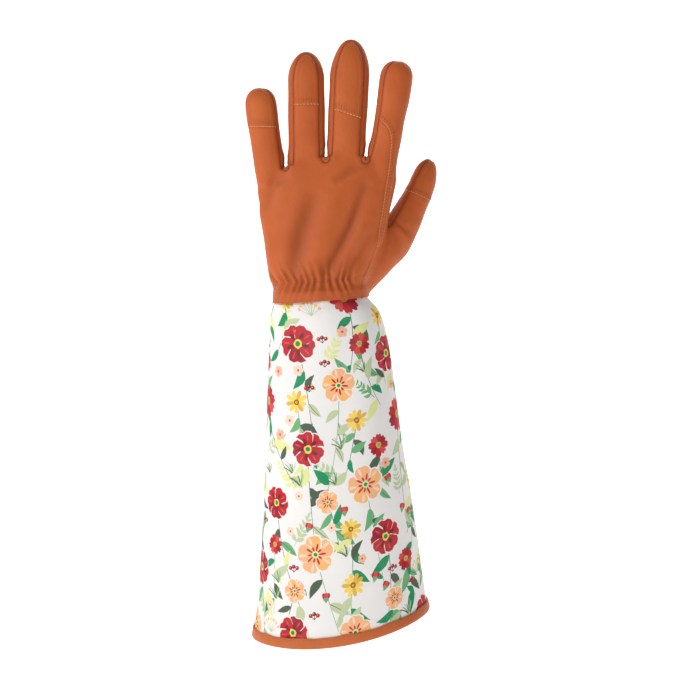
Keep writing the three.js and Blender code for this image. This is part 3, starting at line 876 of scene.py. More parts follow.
class Part(Enum):
    """The leather pieces of the hand, by their node's name."""

    BACK = "back_panel"
    PALM = "palm_panel"
    PINKY_TIP = "pinky_tip_patch"
    RING_TIP = "ring_tip_patch"
    MIDDLE_TIP = "middle_tip_patch"
    THUMB_TIP = "thumb_tip_patch"
    THUMB_FRONT = "thumb_front"
    PINKY_RING = "side_strip_pinky_ring"
    RING_MIDDLE = "side_strip_ring_middle"
    MIDDLE_INDEX = "side_strip_middle_index"


@dataclass
class HandSkin:
    """The leather hand: its skin cut into pieces, with folds, gathers and seams, and a wall's thickness.

    The line of elastic runs gather_height above the leather's lower edge, with a pucker each pucker_pitch.
    """

    form: HandForm = field(default_factory=HandForm)
    leather: float = 1.3
    snap: float = 0.14
    pucker_pitch: float = 4.9
    gather_height: float = 15.3
    web: Place = (35.5, 306.0)
    points: Array = field(init=False)
    normals: Array = field(init=False)
    triangles: Array = field(init=False)
    table: Array = field(init=False)
    labels: Array = field(init=False)
    shade: Array = field(init=False)

    def __post_init__(self) -> None:
        """Builds the skin."""
        self.seams = Seams(self.form)
        points, triangles = self.form.fused()
        table = self.seams.columns(points)
        for line in Field:
            table, triangles = cut_along(table, triangles, line.value, self.snap)
        keep = table[triangles, Field.EDGE.value].mean(1) > 0
        triangles = triangles[keep]
        used, back = np.unique(triangles, return_inverse=True)
        self.table, self.triangles = table[used], back.reshape(-1, 3)
        normals = normals_of(self.base, self.triangles)
        offset, self.shade = self.relief(normals)
        self.points = self.base + normals * offset[:, None]
        self.normals = normals_of(self.points, self.triangles)
        self.labels = self.sorted_pieces()

    @property
    def base(self) -> Array:
        """The points of the plain form."""
        return self.table[:, :3]

    @property
    def front(self) -> Array:
        """How far each of them lies in front of the hand's middle."""
        return self.form.curl_at(self.base[:, 2]) - self.base[:, 1]

    def value(self, line: Field) -> Array:
        """One field's values at the points."""
        return self.table[:, line.value]

    def sorted_pieces(self) -> Array:
        """The piece that each triangle belongs to, as its place in Part.

        Returns:
            One place for each triangle.
        """
        mean = {line: self.value(line)[self.triangles].mean(1) for line in Field}
        parts = list(Part)
        labels = np.full(len(self.triangles), parts.index(Part.PALM))
        tops = ("BACK", "PINKY_TIP", "RING_TIP", "MIDDLE_TIP", "THUMB_TIP", "THUMB_FRONT")
        strips = mean[Field.PANEL] < 0
        chosen = [
            *((mean[Field[name]] > 0, Part[name]) for name in tops),
            (strips, Part.RING_MIDDLE),
            (strips & (mean[Field.RING_LINE] < 0), Part.PINKY_RING),
            (strips & (mean[Field.MIDDLE_LINE] > 0), Part.MIDDLE_INDEX),
        ]
        for mask, part in chosen:
            labels[mask] = parts.index(part)
        return labels

    def gathers(self) -> tuple[Array, Array]:
        """The puckers that the wrist elastic makes.

        Returns:
            The puckers' height, and the shade painted into the colour in their creases.
        """
        form = self.form
        x, y, z = self.base.T
        above = z - form.wrist_edge(x) - self.gather_height
        across = np.clip((x - form.wrist_x) / 35, -1, 1)
        slant = np.where(above > 0, 0.5 * np.tanh(1.8 * across - 0.3), -0.45 * np.tanh(3 * across - 0.15))
        place = x - slant * np.clip(above, -12, 16)
        phase = (place - form.wrist_x) / self.pucker_pitch
        phase = phase + 0.1 * np.sin(0.23 * place) + 0.07 * np.sin(0.61 * place)
        number = np.round(phase)
        ridge = (0.5 + 0.5 * np.cos(2 * np.pi * phase)) ** 1.2
        length = 7.5 + 3 * np.sin(number * 2.4) + 1.5 * np.sin(number * 5.1 + 1)
        far = np.clip(above, 0, None)
        rise = np.where(above > 0, 2.1 * np.exp(-((far / length) ** 1.6)), 0.05 + 1.85 * bell(above, 8.5))
        pinch = bell(above, 1.5)
        wrap = form.side(0.235) - x
        where = ease(0, 7, wrap) * ease(0, 9, -y)
        height = where * (rise * (ridge - 0.5) * (1 - 0.25 * pinch) - 0.5 * pinch)
        # Painted shade in the creases between the puckers, and a little along the elastic's line.
        crease = where * np.clip(rise / 2.1, 0, 1) * (1 - ridge) ** 1.5
        return height, np.clip(0.5 * crease + 0.05 * where * pinch, 0, 1)

    def folds(self, facing: Array) -> tuple[Array, Array]:
        """The soft folds of the back.

        Args:
            facing: How squarely each point faces the front.

        Returns:
            The folds' height, and the shade painted into the colour in their hollows.
        """
        base = self.base
        flat = base[:, [0, 2]]
        height, hollow_shade = np.zeros(len(base)), np.zeros(len(base))
        for *shares, rise, width in FOLD_ROWS:
            line = [np.array([self.form.side(across), self.form.height(up)]) for across, up in shares]
            away, along = np.full(len(base), np.inf), np.zeros(len(base))
            for i, (start, end) in enumerate(zip(line[:-1], line[1:])):
                run = end - start
                part = np.clip((flat - start) @ run / (run @ run), 0, 1)
                far = np.linalg.norm(flat - start - part[:, None] * run, axis=1)
                along = np.where(far < away, (i + part) / (len(line) - 1), along)
                away = np.minimum(away, far)
            shape = np.sin(np.pi * (0.14 + 0.62 * along)) * bell(away, width * self.form.palm_width)
            height += rise * shape
            # Painted shade in the folds' hollows.
            hollow_shade += max(0.0, -rise) * shape
        above = base[:, 2] - self.form.wrist_edge(base[:, 0])
        wall = ease(self.gather_height - 3, self.gather_height + 5, above)
        return height * facing * wall, np.clip(hollow_shade * facing * wall / 2.4, 0, 1)

    def web_folds(self, facing: Array) -> Array:
        """The creases that fan out from the web between the thumb and the index finger.

        Args:
            facing: How squarely each point faces the front.

        Returns:
            The creases' height.
        """
        away = self.base[:, [0, 2]] - self.web
        far = np.linalg.norm(away, axis=1)
        angle = np.degrees(np.arctan2(away[:, 1], away[:, 0]))
        height = np.zeros(len(far))
        for way, rise, width in WEB_CREASES:
            height += rise * bell(angle - way, width) * far / 9 * np.exp(-far / 15)
        return height * facing

    def relief(self, normals: Array) -> tuple[Array, Array]:
        """Adds up the folds, gathers and seams.

        Args:
            normals: The plain form's normals.

        Returns:
            How far each point stands out from the plain form, and the shade painted into its colour along
            seams and laps, in hollows, in the gathers' creases and in the crotch folds.
        """
        facing = ease(0.1, 0.55, -normals[:, 1])
        fold, hollow_shade = self.folds(facing)
        pucker, crease = self.gathers()
        panel, back = self.value(Field.PANEL), self.value(Field.BACK)
        tips = np.maximum.reduce([self.value(f) for f in (Field.PINKY_TIP, Field.RING_TIP, Field.MIDDLE_TIP)])
        thumb_tip, thumb_front = self.value(Field.THUMB_TIP), self.value(Field.THUMB_FRONT)
        inseam = np.minimum(np.abs(panel), np.abs(thumb_front))
        x, y, z = self.base.T
        half = np.abs(self.front)
        inseam = np.where((half < 6) & (panel > 0), np.minimum(inseam, np.abs(back)), inseam)
        lap = np.where(half < 6, 99.0, np.where(panel > 0, np.abs(back), 99.0))
        lap = np.minimum(lap, np.minimum(np.abs(tips), np.abs(thumb_tip)))
        on_top = (tips > 0) | (thumb_tip > 0) | ((back < 0) & (panel > 0))
        groove = -(0.3 + 0.5 * facing) * np.exp(-inseam / 0.8) + 0.15 * bell(inseam - 2.5, 1.5)
        step = np.where(on_top, 0.3 * np.exp(-lap / 9), -0.1 * np.exp(-lap / 1.2))
        sewn = -0.16 * bell(lap - 0.9, 0.6) - 0.12 * bell(lap - 4.4, 0.8)
        step = step + np.where(on_top, sewn, 0)
        notch, depth = self.notches()
        edge = self.value(Field.EDGE)
        hem = 0.3 * bell(edge, 1.6) + 0.3 * np.sin(x * 0.31 + 1) * bell(edge, 6)
        soft = 0.22 * np.sin(x * 0.19 + z * 0.08) * np.sin(z * 0.13 - y * 0.1)
        # Painted shade: darker colour along the seams and laps, in the folds' hollows, the gathers' creases
        # and the crotch folds.
        seam_shade = 0.75 * np.exp(-inseam / 0.7)
        shade = np.maximum.reduce([seam_shade, 0.16 * np.exp(-lap / 0.4), 0.45 * hollow_shade, crease, depth])
        return fold + pucker + self.web_folds(facing) + groove + step + notch + hem + soft, shade

    def notches(self) -> tuple[Array, Array]:
        """The folds where the side strips meet in each crotch, with shade painted into the colour along them.

        Returns:
            The folds' height, and the painted shade at each point.
        """
        flat = self.base[:, [0, 2]]
        height, depth = np.zeros(len(flat)), np.zeros(len(flat))
        for middle, (radius, drop) in zip(self.seams.crotches(), self.seams.crotch_holes):
            away = flat - middle
            low = ease(-drop - radius * 0.9, -drop, away[:, 1]) * ease(9, 3, away[:, 1])
            line = np.exp(-np.abs(away[:, 0]) / (0.7 + 0.12 * np.clip(away[:, 1] + 4, 0, 9))) * low
            height -= 1.0 * line
            # Painted shade along each crotch fold.
            depth = np.maximum(depth, 1.1 * line)
        return height, np.clip(depth, 0, 1)

    def panel_mesh(self, part: Part) -> tuple[Mesh, Array]:
        """Makes one piece as a closed wall.

        Args:
            part: The piece.

        Returns:
            Its mesh, and the shade at each of its points.
        """
        triangles = self.triangles[self.labels == list(Part).index(part)]
        used, back = np.unique(triangles, return_inverse=True)
        triangles = back.reshape(-1, 3)
        outer = self.points[used]
        ends = np.stack([triangles, np.roll(triangles, -1, axis=1)], axis=2).reshape(-1, 2)
        keys = ends[:, 0].astype(np.int64) * len(used) + ends[:, 1]
        rim = ends[~np.isin(keys, ends[:, 1].astype(np.int64) * len(used) + ends[:, 0])]
        on_rim = np.zeros(len(used), bool)
        on_rim[rim] = True
        pull = unit(neighbour_mean(outer, edges_of(triangles)) - outer)
        outer = outer + np.where(on_rim, 0.06, 0.0)[:, None] * pull
        inner = outer - self.normals[used] * self.leather
        start = len(used)
        faces = [*triangles, *(triangles[:, ::-1] + start)]
        faces += [(p, p + start, q + start, q) for p, q in rim]
        return Mesh(np.vstack([outer, inner]), faces), np.tile(self.shade[used], 2)


@dataclass(frozen=True)
class Wire:
    """A value on its way between nodes, that takes part in sums."""

    nodes: Nodes
    socket: bpy.types.NodeSocket

    def _with(self, operation: str, *others: Wire | float) -> Wire:
        """Adds a Math node."""
        return self.nodes.node("ShaderNodeMath", {"operation": operation}, self, *others)

    def __add__(self, other: Wire | float) -> Wire:
        """Sum."""
        return self._with("ADD", other)

    __radd__ = __add__

    def __mul__(self, other: Wire | float) -> Wire:
        """Product."""
        return self._with("MULTIPLY", other)

    def sine(self) -> Wire:
        """The sine of the value."""
        return self._with("SINE")

    def part(self, low: float, high: float) -> Wire:
        """0 below low, 1 above high, and smooth between."""
        return self.nodes.node("ShaderNodeMapRange", {"interpolation_type": "SMOOTHSTEP"}, self, low, high)


class Nodes:
    """A tree of nodes."""

    def __init__(self, tree: bpy.types.NodeTree) -> None:
        """Starts with a tree."""
        self.tree = tree

    def node(
        self, kind: str, settings: dict | None = None, *inputs: object, output: int = 0, **named: object
    ) -> Wire:
        """Adds a node.

        Args:
            kind: The node's type.
            settings: Its own settings, set before its sockets.
            *inputs: Values or wires for its sockets in order.
            output: Which output the wire is taken from.
            **named: Values or wires for sockets by name, or None to leave one.

        Returns:
            A wire from the node's output.
        """
        node = self.tree.nodes.new(kind)
        for key, value in (settings or {}).items():
            setattr(node, key, value)
        shown = [s for s in node.inputs if s.enabled]
        by_name = {s.name: s for s in reversed(shown)}
        for socket, value in [*zip(shown, inputs), *((by_name[name], value) for name, value in named.items())]:
            if value is not None:
                self.set(socket, value)
        return Wire(self, node.outputs[output])

    def set(self, socket: bpy.types.NodeSocket, value: object) -> None:
        """Links a wire to a socket, or sets a plain value on it.

        Args:
            socket: The socket.
            value: A wire, a colour, a text or a number.
        """
        if isinstance(value, Wire):
            self.tree.links.new(value.socket, socket)
        else:
            socket.default_value = (*value, 1.0) if socket.type == "RGBA" else value


class Shader(Nodes):
    """A material's nodes."""

    def __init__(self, name: str) -> None:
        """Starts a material with a plain principled surface.

        Args:
            name: Its name.
        """
        self.material = bpy.data.materials.new(name)
        self.material.use_nodes = True
        super().__init__(self.material.node_tree)
        self.surface = next(n for n in self.tree.nodes if n.type == "BSDF_PRINCIPLED")

    def mixed(self, share: Wire | float, a: Wire | Colour, b: Wire | Colour) -> Wire:
        """Mixes two colours by a share, from 0 for the first to 1 for the second."""
        return self.node("ShaderNodeMix", {"data_type": "RGBA"}, share, a, b, output=2)

    def place(self) -> Wire:
        """The place on the object, in metres."""
        return self.node("ShaderNodeTexCoord", output=3)

    def noise(self, period: float, detail: float = 2.0, roughness: float = 0.5) -> Wire:
        """Cloudy noise from 0 to 1, whose clouds are period millimetres across."""
        sizes = {"Scale": 1 / (period * MM), "Detail": detail, "Roughness": roughness}
        return self.node("ShaderNodeTexNoise", Vector=self.place(), **sizes)

    def bump(self, height: Wire, depth: float, under: Wire | None = None) -> Wire:
        """A normal from a height of 0 to 1 that stands for depth millimetres."""
        return self.node("ShaderNodeBump", Strength=1.0, Distance=depth * MM, Height=height, Normal=under)

    def finish(self, **sockets: object) -> Material:
        """Sets the surface's sockets.

        Args:
            **sockets: Values or wires by the socket's name, with underscores for spaces.

        Returns:
            The material.
        """
        for name, value in sockets.items():
            self.set(self.surface.inputs[name.replace("_", " ")], value)
        return self.material


@dataclass(frozen=True)
class LeatherFinish:
    """Smooth tan-orange leather with a fine grain.

    The colour clouds over between light and dark at random, and the shade attribute paints shade into hollows,
    creases, seams and laps by mixing towards crease.
    """

    name: str
    light: Colour
    dark: Colour
    crease: Colour
    roughness: float = 0.5
    grain: float = 0.75

    def made(self) -> Material:
        """Wires the finish.

        Returns:
            The material.
        """
        s = Shader(self.name)
        clouds = s.noise(38, 3, 0.55)
        specks = s.noise(2.6, 4, 0.6)
        shade = s.node("ShaderNodeAttribute", {"attribute_name": "shade"}, output=2)
        base = s.mixed((clouds * 0.8 + specks * 0.16 + 0.02).part(0.2, 0.8), self.light, self.dark)
        # Painted shade: the shade attribute darkens the colour towards crease in hollows, creases, seams and
        # laps.
        colour = s.mixed(shade * 0.85, base, self.crease)
        sizes = {"Scale": 1 / (self.grain * MM), "Smoothness": 0.4}
        cells = s.node("ShaderNodeTexVoronoi", {"feature": "SMOOTH_F1"}, Vector=s.place(), **sizes)
        wrinkles = s.noise(1.9, 5, 0.62)
        grain = s.bump(cells * 0.5 + wrinkles * 0.5, 0.11)
        surface = s.bump(s.noise(9, 3, 0.5), 0.28, grain)
        rough = self.roughness + specks * 0.14
        return s.finish(Base_Color=colour, Roughness=rough, Normal=surface, Specular_IOR_Level=0.28)


@dataclass(frozen=True)
class ThreadFinish:
    """Sewing thread, or the shade of a needle's hole painted as a dark mark."""

    name: str
    colour: Colour
    roughness: float = 0.6

    def made(self) -> Material:
        """Wires the finish.

        Returns:
            The material.
        """
        s = Shader(self.name)
        fibre = s.noise(0.35, 2, 0.6)
        worn = s.noise(6, 2, 0.6)
        darker = tuple(c * 0.72 for c in self.colour)
        colour = s.mixed(worn.part(0.3, 0.7), self.colour, darker)
        return s.finish(Base_Color=colour, Roughness=self.roughness, Normal=s.bump(fibre, 0.08))


@dataclass(frozen=True)
class ClothFinish:
    """Closely woven cotton with its print in a colour attribute."""

    name: str
    pitch: float = 0.55

    def made(self) -> Material:
        """Wires the finish.

        Returns:
            The material.
        """
        s = Shader(self.name)
        ink = s.node("ShaderNodeAttribute", {"attribute_name": "print"})
        flat = s.node("ShaderNodeUVMap", {"uv_map": "flat"})
        split = s.tree.nodes.new("ShaderNodeSeparateXYZ")
        s.tree.links.new(flat.socket, split.inputs[0])
        turns = 2 * math.pi * Sleeve.UV_SPAN / self.pitch
        across = (Wire(s, split.outputs[0]) * turns).sine()
        along = (Wire(s, split.outputs[1]) * turns).sine()
        clouds = s.noise(22, 3, 0.6)
        worn = s.mixed(clouds.part(0.3, 0.8) * 0.07, ink, (0.62, 0.6, 0.58))
        weave = s.bump(across * along * 0.5 + 0.5, 0.06)
        surface = s.bump(s.noise(14, 3, 0.5), 0.35, weave)
        return s.finish(Base_Color=worn, Roughness=0.82, Normal=surface, Specular_IOR_Level=0.25)


class Ink(Enum):
    """The print's colours."""

    GROUND = srgb(232, 229, 226)
    CRIMSON = srgb(186, 36, 46)
    ROSE = srgb(206, 74, 72)
    MAROON = srgb(112, 36, 46)
    RUBY = srgb(160, 28, 44)
    BROWN = srgb(140, 78, 44)
    PEACH = srgb(245, 178, 110)
    APRICOT = srgb(240, 176, 124)
    SALMON = srgb(236, 178, 150)
    BLUSH = srgb(244, 208, 186)
    YELLOW = srgb(240, 206, 88)
    GOLD = srgb(222, 172, 60)
    LEAF = srgb(104, 170, 116)
    BRIGHT = srgb(20, 140, 88)
    DARK = srgb(76, 92, 74)
    SAGE = srgb(188, 200, 158)
    LIME = srgb(222, 224, 150)


def reached(at: Place, way: float, reach: float) -> Place:
    """The place that lies some reach away."""
    return at[0] + reach * math.cos(way), at[1] + reach * math.sin(way)


@dataclass(frozen=True)
class Petals:
    """One kind of petal in a whorl, in shares of the flower's size.

    Their ends and inks take turns. Ragged is the range that their ends vary by, and without inks they take
    the flower's own tint.
    """

    whorl: int
    ends: tuple[float, ...]
    width: float
    inks: tuple[Ink, ...] = ()
    notch: float = 0.0
    near: float = 0.0
    turn: float = 0.0
    ragged: Pair | None = None


class Flower(Enum):
    """The print's flowers.

    Each has its whorls, as the counts of petals that they may have and a turn aside, then its petals, its
    round eyes, as a radius, an ink, corners and roughness, and its own tints.
    """

    WILD_ROSE = (
        (((5,), 0.0), ((5,), 0.0)),
        (
            Petals(0, (1.06,), 1.22, (Ink.GROUND,), 0.1),
            Petals(0, (1.0,), 1.1, (Ink.CRIMSON, Ink.CRIMSON, Ink.RUBY), 0.1),
            Petals(1, (0.66,), 0.2, (Ink.MAROON,), near=0.18, turn=0.1),
            Petals(1, (0.83,), 0.1, (Ink.ROSE,), near=0.45, turn=-0.33),
        ),
        ((0.24, Ink.YELLOW, 12, 0.16), (0.14, Ink.BRIGHT, 8)),
        (),
    )
    COSMOS = (
        (((8,), 0.0),),
        (Petals(0, (1.0,), 0.56, (Ink.CRIMSON, Ink.ROSE, Ink.CRIMSON, Ink.RUBY), 0.12, 0.12, 0, (0.9, 1)),),
        ((0.25, Ink.GOLD, 12, 0.14), (0.15, Ink.LEAF, 8)),
        (),
    )
    POPPY = (
        (((5,), 0.0), ((10,), 0.2)),
        (
            Petals(0, (1.08,), 1.06, (Ink.GROUND,), 0.05),
            Petals(0, (1.0,), 0.92, (Ink.APRICOT, Ink.PEACH), 0.05),
            Petals(0, (0.93,), 0.16, (Ink.BLUSH,), near=0.5, turn=0.2),
            Petals(1, (0.42, 0.58), 0.11, (Ink.CRIMSON,), near=0.1),
        ),
        ((0.2, Ink.LIME, 9, 0.12), (0.11, Ink.BRIGHT, 7)),
        (),
    )
    DAISY = (
        (((9, 10, 11), 0.0),),
        (Petals(0, (1.0,), 0.36, (Ink.GOLD, Ink.YELLOW, Ink.YELLOW), near=0.1, ragged=(0.86, 1.02)),),
        ((0.24, Ink.BROWN, 9, 0.12), (0.12, Ink.GOLD, 7)),
        (),
    )
    BLOSSOM = (
        (((5,), 0.0),),
        (Petals(0, (1.0,), 0.86),),
        ((0.24, Ink.ROSE, 6),),
        (Ink.SALMON, Ink.BLUSH, Ink.SALMON),
    )


@dataclass
class FloralPrint:
    """A made-up print of garden flowers, as flat outlines from the bottom layer up."""

    half_width: float
    height: float
    seed: int = 11
    layers: list[tuple[Outline, Ink]] = field(default_factory=list)

    def __post_init__(self) -> None:
        """Lays the print out."""
        self.chance = random.Random(self.seed)
        self.lay_out()

    def add(self, outline: Outline, ink: Ink) -> None:
        """Puts a filled outline on top."""
        self.layers.append((outline, ink))

    @staticmethod
    def turned(outline: Outline, at: Place, angle: float) -> Outline:
        """An outline turned and moved."""
        c, s = math.cos(angle), math.sin(angle)
        return [(at[0] + c * px - s * py, at[1] + s * px + c * py) for px, py in outline]

    def blob(self, at: Place, radius: float, ink: Ink, corners: int = 10, rough: float = 0.08) -> None:
        """A round spot with an uneven edge.

        Args:
            at: Its place.
            radius: Its radius.
            ink: Its colour.
            corners: How many corners it has.
            rough: The share that they lie off the circle by.
        """
        start = self.chance.random() * 6
        spot = []
        for i in range(corners):
            angle = start + i * 2 * math.pi / corners
            spot.append(reached(at, angle, radius * (1 + self.chance.uniform(-rough, rough))))
        self.add(spot, ink)

    def petal(
        self, at: Place, angle: float, near: float, far: float, width: float, ink: Ink, notch: float = 0.0
    ) -> None:
        """A petal that points away from a flower's middle.

        Args:
            at: The flower's middle.
            angle: The way that the petal points.
            near: Where it starts from the middle.
            far: Where it ends.
            width: Its widest.
            ink: Its colour.
            notch: How deep its end is notched.
        """
        sides = ((0.0, 0.16), (0.3, 0.36), (0.62, 0.5), (0.86, 0.4), (0.97, 0.2))
        half = [(near + (far - near) * a, width * b * self.chance.uniform(0.92, 1.08)) for a, b in sides]
        shape = half + [(far - notch, 0.0)] + [(a, -b) for a, b in reversed(half)]
        self.add(self.turned(shape, at, angle), ink)

    def ribbon(self, line: Outline, width: float, ink: Ink) -> None:
        """A thin line that narrows to its end.

        Args:
            line: The places that it passes.
            width: Its width at the start.
            ink: Its colour.
        """
        left, right = [], []
        for i, (x, y) in enumerate(line):
            ax, ay = line[max(0, i - 1)]
            bx, by = line[min(len(line) - 1, i + 1)]
            run = math.hypot(bx - ax, by - ay) or 1.0
            half = width / 2 * (1 - 0.5 * i / len(line))
            nx, ny = -(by - ay) / run * half, (bx - ax) / run * half
            left.append((x + nx, y + ny))
            right.append((x - nx, y - ny))
        self.add(left + right[::-1], ink)

    def leaf(
        self, at: Place, angle: float, length: float, width: float, ink: Ink, rib: Ink | None = None
    ) -> None:
        """An almond leaf, bent a little.

        Args:
            at: Its stalk's place.
            angle: The way that it points.
            length: Its length.
            width: Its width.
            ink: Its colour.
            rib: The colour of its midrib, if it has one.
        """
        bend = self.chance.uniform(-0.16, 0.16) * length
        shares = (0.0, 0.14, 0.34, 0.56, 0.78, 1.0)
        spread = (0.0, 0.34, 0.5, 0.46, 0.27, 0.0)
        middle = [(length * s, bend * math.sin(math.pi * s)) for s in shares]
        upper = [(a, b + width * w) for (a, b), w in zip(middle, spread)]
        lower = [(a, b - width * w * 0.9) for (a, b), w in zip(middle, spread)]
        self.add(self.turned(upper + lower[-2:0:-1], at, angle), ink)
        if rib:
            vein = [(length * s, bend * math.sin(math.pi * s)) for s in (0.02, 0.3, 0.6, 0.86)]
            self.ribbon(self.turned(vein, at, angle), 0.5, rib)

    def stem(self, at: Place, angle: float, length: float, ink: Ink, leaves: Sequence[Ink]) -> None:
        """A curved stalk with leaves on alternate sides.

        Args:
            at: Its start.
            angle: The way that it starts.
            length: Its length.
            ink: Its colour.
            leaves: The colour of each leaf from the start on.
        """
        turn = self.chance.uniform(-0.5, 0.5)
        line = [at]
        for i in range(9):
            line.append(reached(line[-1], angle + turn * i / 9, length / 9))
        self.ribbon(line, 0.6, ink)
        for i, colour in enumerate(leaves):
            spot = line[min(8, 2 + int(6.5 * i / max(1, len(leaves) - 1)))]
            side = 1 if i % 2 else -1
            way = angle + turn * 0.5 + side * self.chance.uniform(0.45, 0.95) + math.pi * (i % 3 == 2)
            size = self.chance.uniform(11, 19)
            rib = Ink.DARK if colour in (Ink.SAGE, Ink.LEAF) and i % 2 else None
            self.leaf(spot, way, size, size * self.chance.uniform(0.34, 0.48), colour, rib)

    def bloom(self, flower: Flower, at: Place, size: float) -> None:
        """A flower.

        Args:
            flower: Its kind.
            at: Its middle.
            size: How far its petals reach.
        """
        whorls, petals, eyes, tints = flower.value
        start = self.chance.random() * 6
        tint = (self.chance.choice(tints),) if tints else ()
        for k, (counts, aside) in enumerate(whorls):
            count = self.chance.choice(counts) if len(counts) > 1 else counts[0]
            for i in range(count):
                angle = start + aside + i * 2 * math.pi / count
                for p in (p for p in petals if p.whorl == k):
                    far = size * p.ends[i % len(p.ends)]
                    if p.ragged:
                        far *= self.chance.uniform(*p.ragged)
                    inks = p.inks or tint
                    ink = inks[i % len(inks)]
                    self.petal(at, angle + p.turn, size * p.near, far, size * p.width, ink, size * p.notch)
        for radius, *eye in eyes:
            self.blob(at, size * radius, *eye)

    def blossom(self, at: Place, size: float) -> None:
        """A small pink flower of five round petals."""
        self.bloom(Flower.BLOSSOM, at, size)

    def stalk(self, at: Place, end: Place, width: float, ink: Ink) -> None:
        """A short straight stalk."""
        self.ribbon([at, ((at[0] + end[0]) / 2, (at[1] + end[1]) / 2), end], width, ink)

    def berries(self, at: Place, size: float) -> None:
        """Three round berries of a given radius on short stalks."""
        for i in range(3):
            end = reached(at, math.pi / 2 + (i - 1) * 0.75, size * 2.6)
            self.stalk(at, end, 0.6, Ink.DARK)
            self.blob(end, size, Ink.MAROON if i % 2 else Ink.CRIMSON)
            self.blob((end[0] - size * 0.3, end[1] + size * 0.3), size * 0.24, Ink.BLUSH, 6)

    def grass(self, at: Place, size: float) -> None:
        """A tuft of fine blades about as long as its size."""
        for i in range(6):
            way = math.pi / 2 + (i - 2.5) * 0.3 + self.chance.uniform(-0.08, 0.08)
            reach = size * self.chance.uniform(0.7, 1.15)
            blade = [reached(at, way + 0.3 * s, reach * s) for s in (0, 0.35, 0.7, 1)]
            self.ribbon(blade, 1.0, (Ink.SAGE, Ink.LEAF, Ink.DARK)[i % 3])

    def umbel(self, at: Place, size: float) -> None:
        """A fan of fine stalks as long as its size, with a dot at the end of each."""
        for i in range(7):
            end = reached(at, math.pi / 2 + (i - 3) * 0.34, size)
            self.stalk(at, end, 0.55, Ink.SAGE)
            self.blob(end, size * 0.14, (Ink.SALMON, Ink.YELLOW)[i % 2], 6)

    def bud(self, at: Place, size: float) -> None:
        """A closed flower in its green cup.

        Args:
            at: Its foot.
            size: Its length.
        """
        way = math.pi / 2 + self.chance.uniform(-0.6, 0.6)
        for turn in (-0.32, 0.32, 0.0):
            self.petal(at, way + turn, 0, size, size * 0.5, Ink.CRIMSON if turn else Ink.ROSE)
        for turn in (-0.4, 0.4):
            self.petal(at, way + turn, -size * 0.1, size * 0.5, size * 0.26, Ink.LEAF)

    def sprig(self, at: Place, way: float, length: float, ink: Ink) -> None:
        """A stalk with small leaves in pairs.

        Args:
            at: Its start.
            way: The way that it points.
            length: Its length.
            ink: Its colour.
        """
        self.ribbon([reached(at, way, length * k / 4) for k in range(5)], 0.7, ink)
        for k in range(5):
            place = reached(at, way, length * (0.2 + 0.18 * k))
            reach = length * 0.3 * (1.1 - 0.13 * k)
            for side in (-1, 1):
                self.leaf(place, way + side * 0.85, reach, reach * 0.42, ink)
        self.leaf(reached(at, way, length), way, length * 0.22, length * 0.09, ink)

    def scattered(self, apart: float, others: Sequence[Spot], tries: int) -> list[Spot]:
        """Random places that keep apart.

        Args:
            apart: How far two of the new places must lie apart.
            others: Places that are taken, each with its radius.
            tries: How many places are tried.

        Returns:
            The new places, each with half their distance as its radius.
        """
        found: list[Spot] = []
        for _ in range(tries):
            x = self.chance.uniform(-self.half_width - 8, self.half_width + 8)
            y = self.chance.uniform(-8, self.height + 6)
            free = all(math.hypot(x - a, y - b) > apart / 2 + r for a, b, r in others)
            if free and all(math.hypot(x - a, y - b) > apart for a, b, _ in found):
                found.append((x, y, apart / 2))
        return found

    def lay_out(self) -> None:
        """Scatters the flowers, with stems and leaves under them and small things between."""
        pale = (Ink.SAGE, Ink.LEAF, Ink.LIME, Ink.SAGE, Ink.BRIGHT, Ink.DARK)
        large = self.scattered(43, [], 700)
        medium = self.scattered(26, [(x, y, 15.0) for x, y, _ in large], 1400)
        heads = [(x, y, 13.5) for x, y, _ in large] + [(x, y, 8.5) for x, y, _ in medium]
        sprigs = self.scattered(30, [(x, y, 0.45 * r) for x, y, r in heads], 700)
        for i, (x, y, _) in enumerate(sprigs):
            way = math.pi / 2 + self.chance.uniform(-1.0, 1.0)
            ink = (Ink.SAGE, Ink.LIME, Ink.SAGE, Ink.LEAF)[i % 4]
            self.sprig((x, y - 9), way, self.chance.uniform(18, 27), ink)
        for i, (x, y, _) in enumerate(large + medium):
            way = -math.pi / 2 + self.chance.uniform(-0.3, 0.3)
            inks = [self.chance.choice(pale) for _ in range(self.chance.choice((4, 5, 6)))]
            reach = self.chance.uniform(58, 84) if i < len(large) else self.chance.uniform(30, 52)
            self.stem((x, y), way, reach, (Ink.DARK, Ink.LEAF, Ink.DARK)[i % 3], inks)
        small = self.scattered(10.5, heads, 2600)
        fillers = (self.blossom, self.grass, self.bud, self.blossom, self.umbel, self.berries, self.grass)
        sizes = (4.2, 10.0, 6.5, 3.4, 9.0, 1.5, 8.0)
        for i, (x, y, _) in enumerate(small):
            k = i % len(fillers)
            if i % 3:
                fillers[k]((x, y - (3 if k not in (0, 3) else 0)), sizes[k])
        for i, (x, y, _) in enumerate(medium):
            flower = (Flower.DAISY, Flower.COSMOS, Flower.DAISY, Flower.POPPY)[i % 4]
            self.bloom(flower, (x, y), self.chance.uniform(7.5, 9.5))
        for i, (x, y, _) in enumerate(large):
            flower = (Flower.WILD_ROSE, Flower.POPPY, Flower.COSMOS)[i % 3]
            self.bloom(flower, (x, y), self.chance.uniform(11.5, 14))


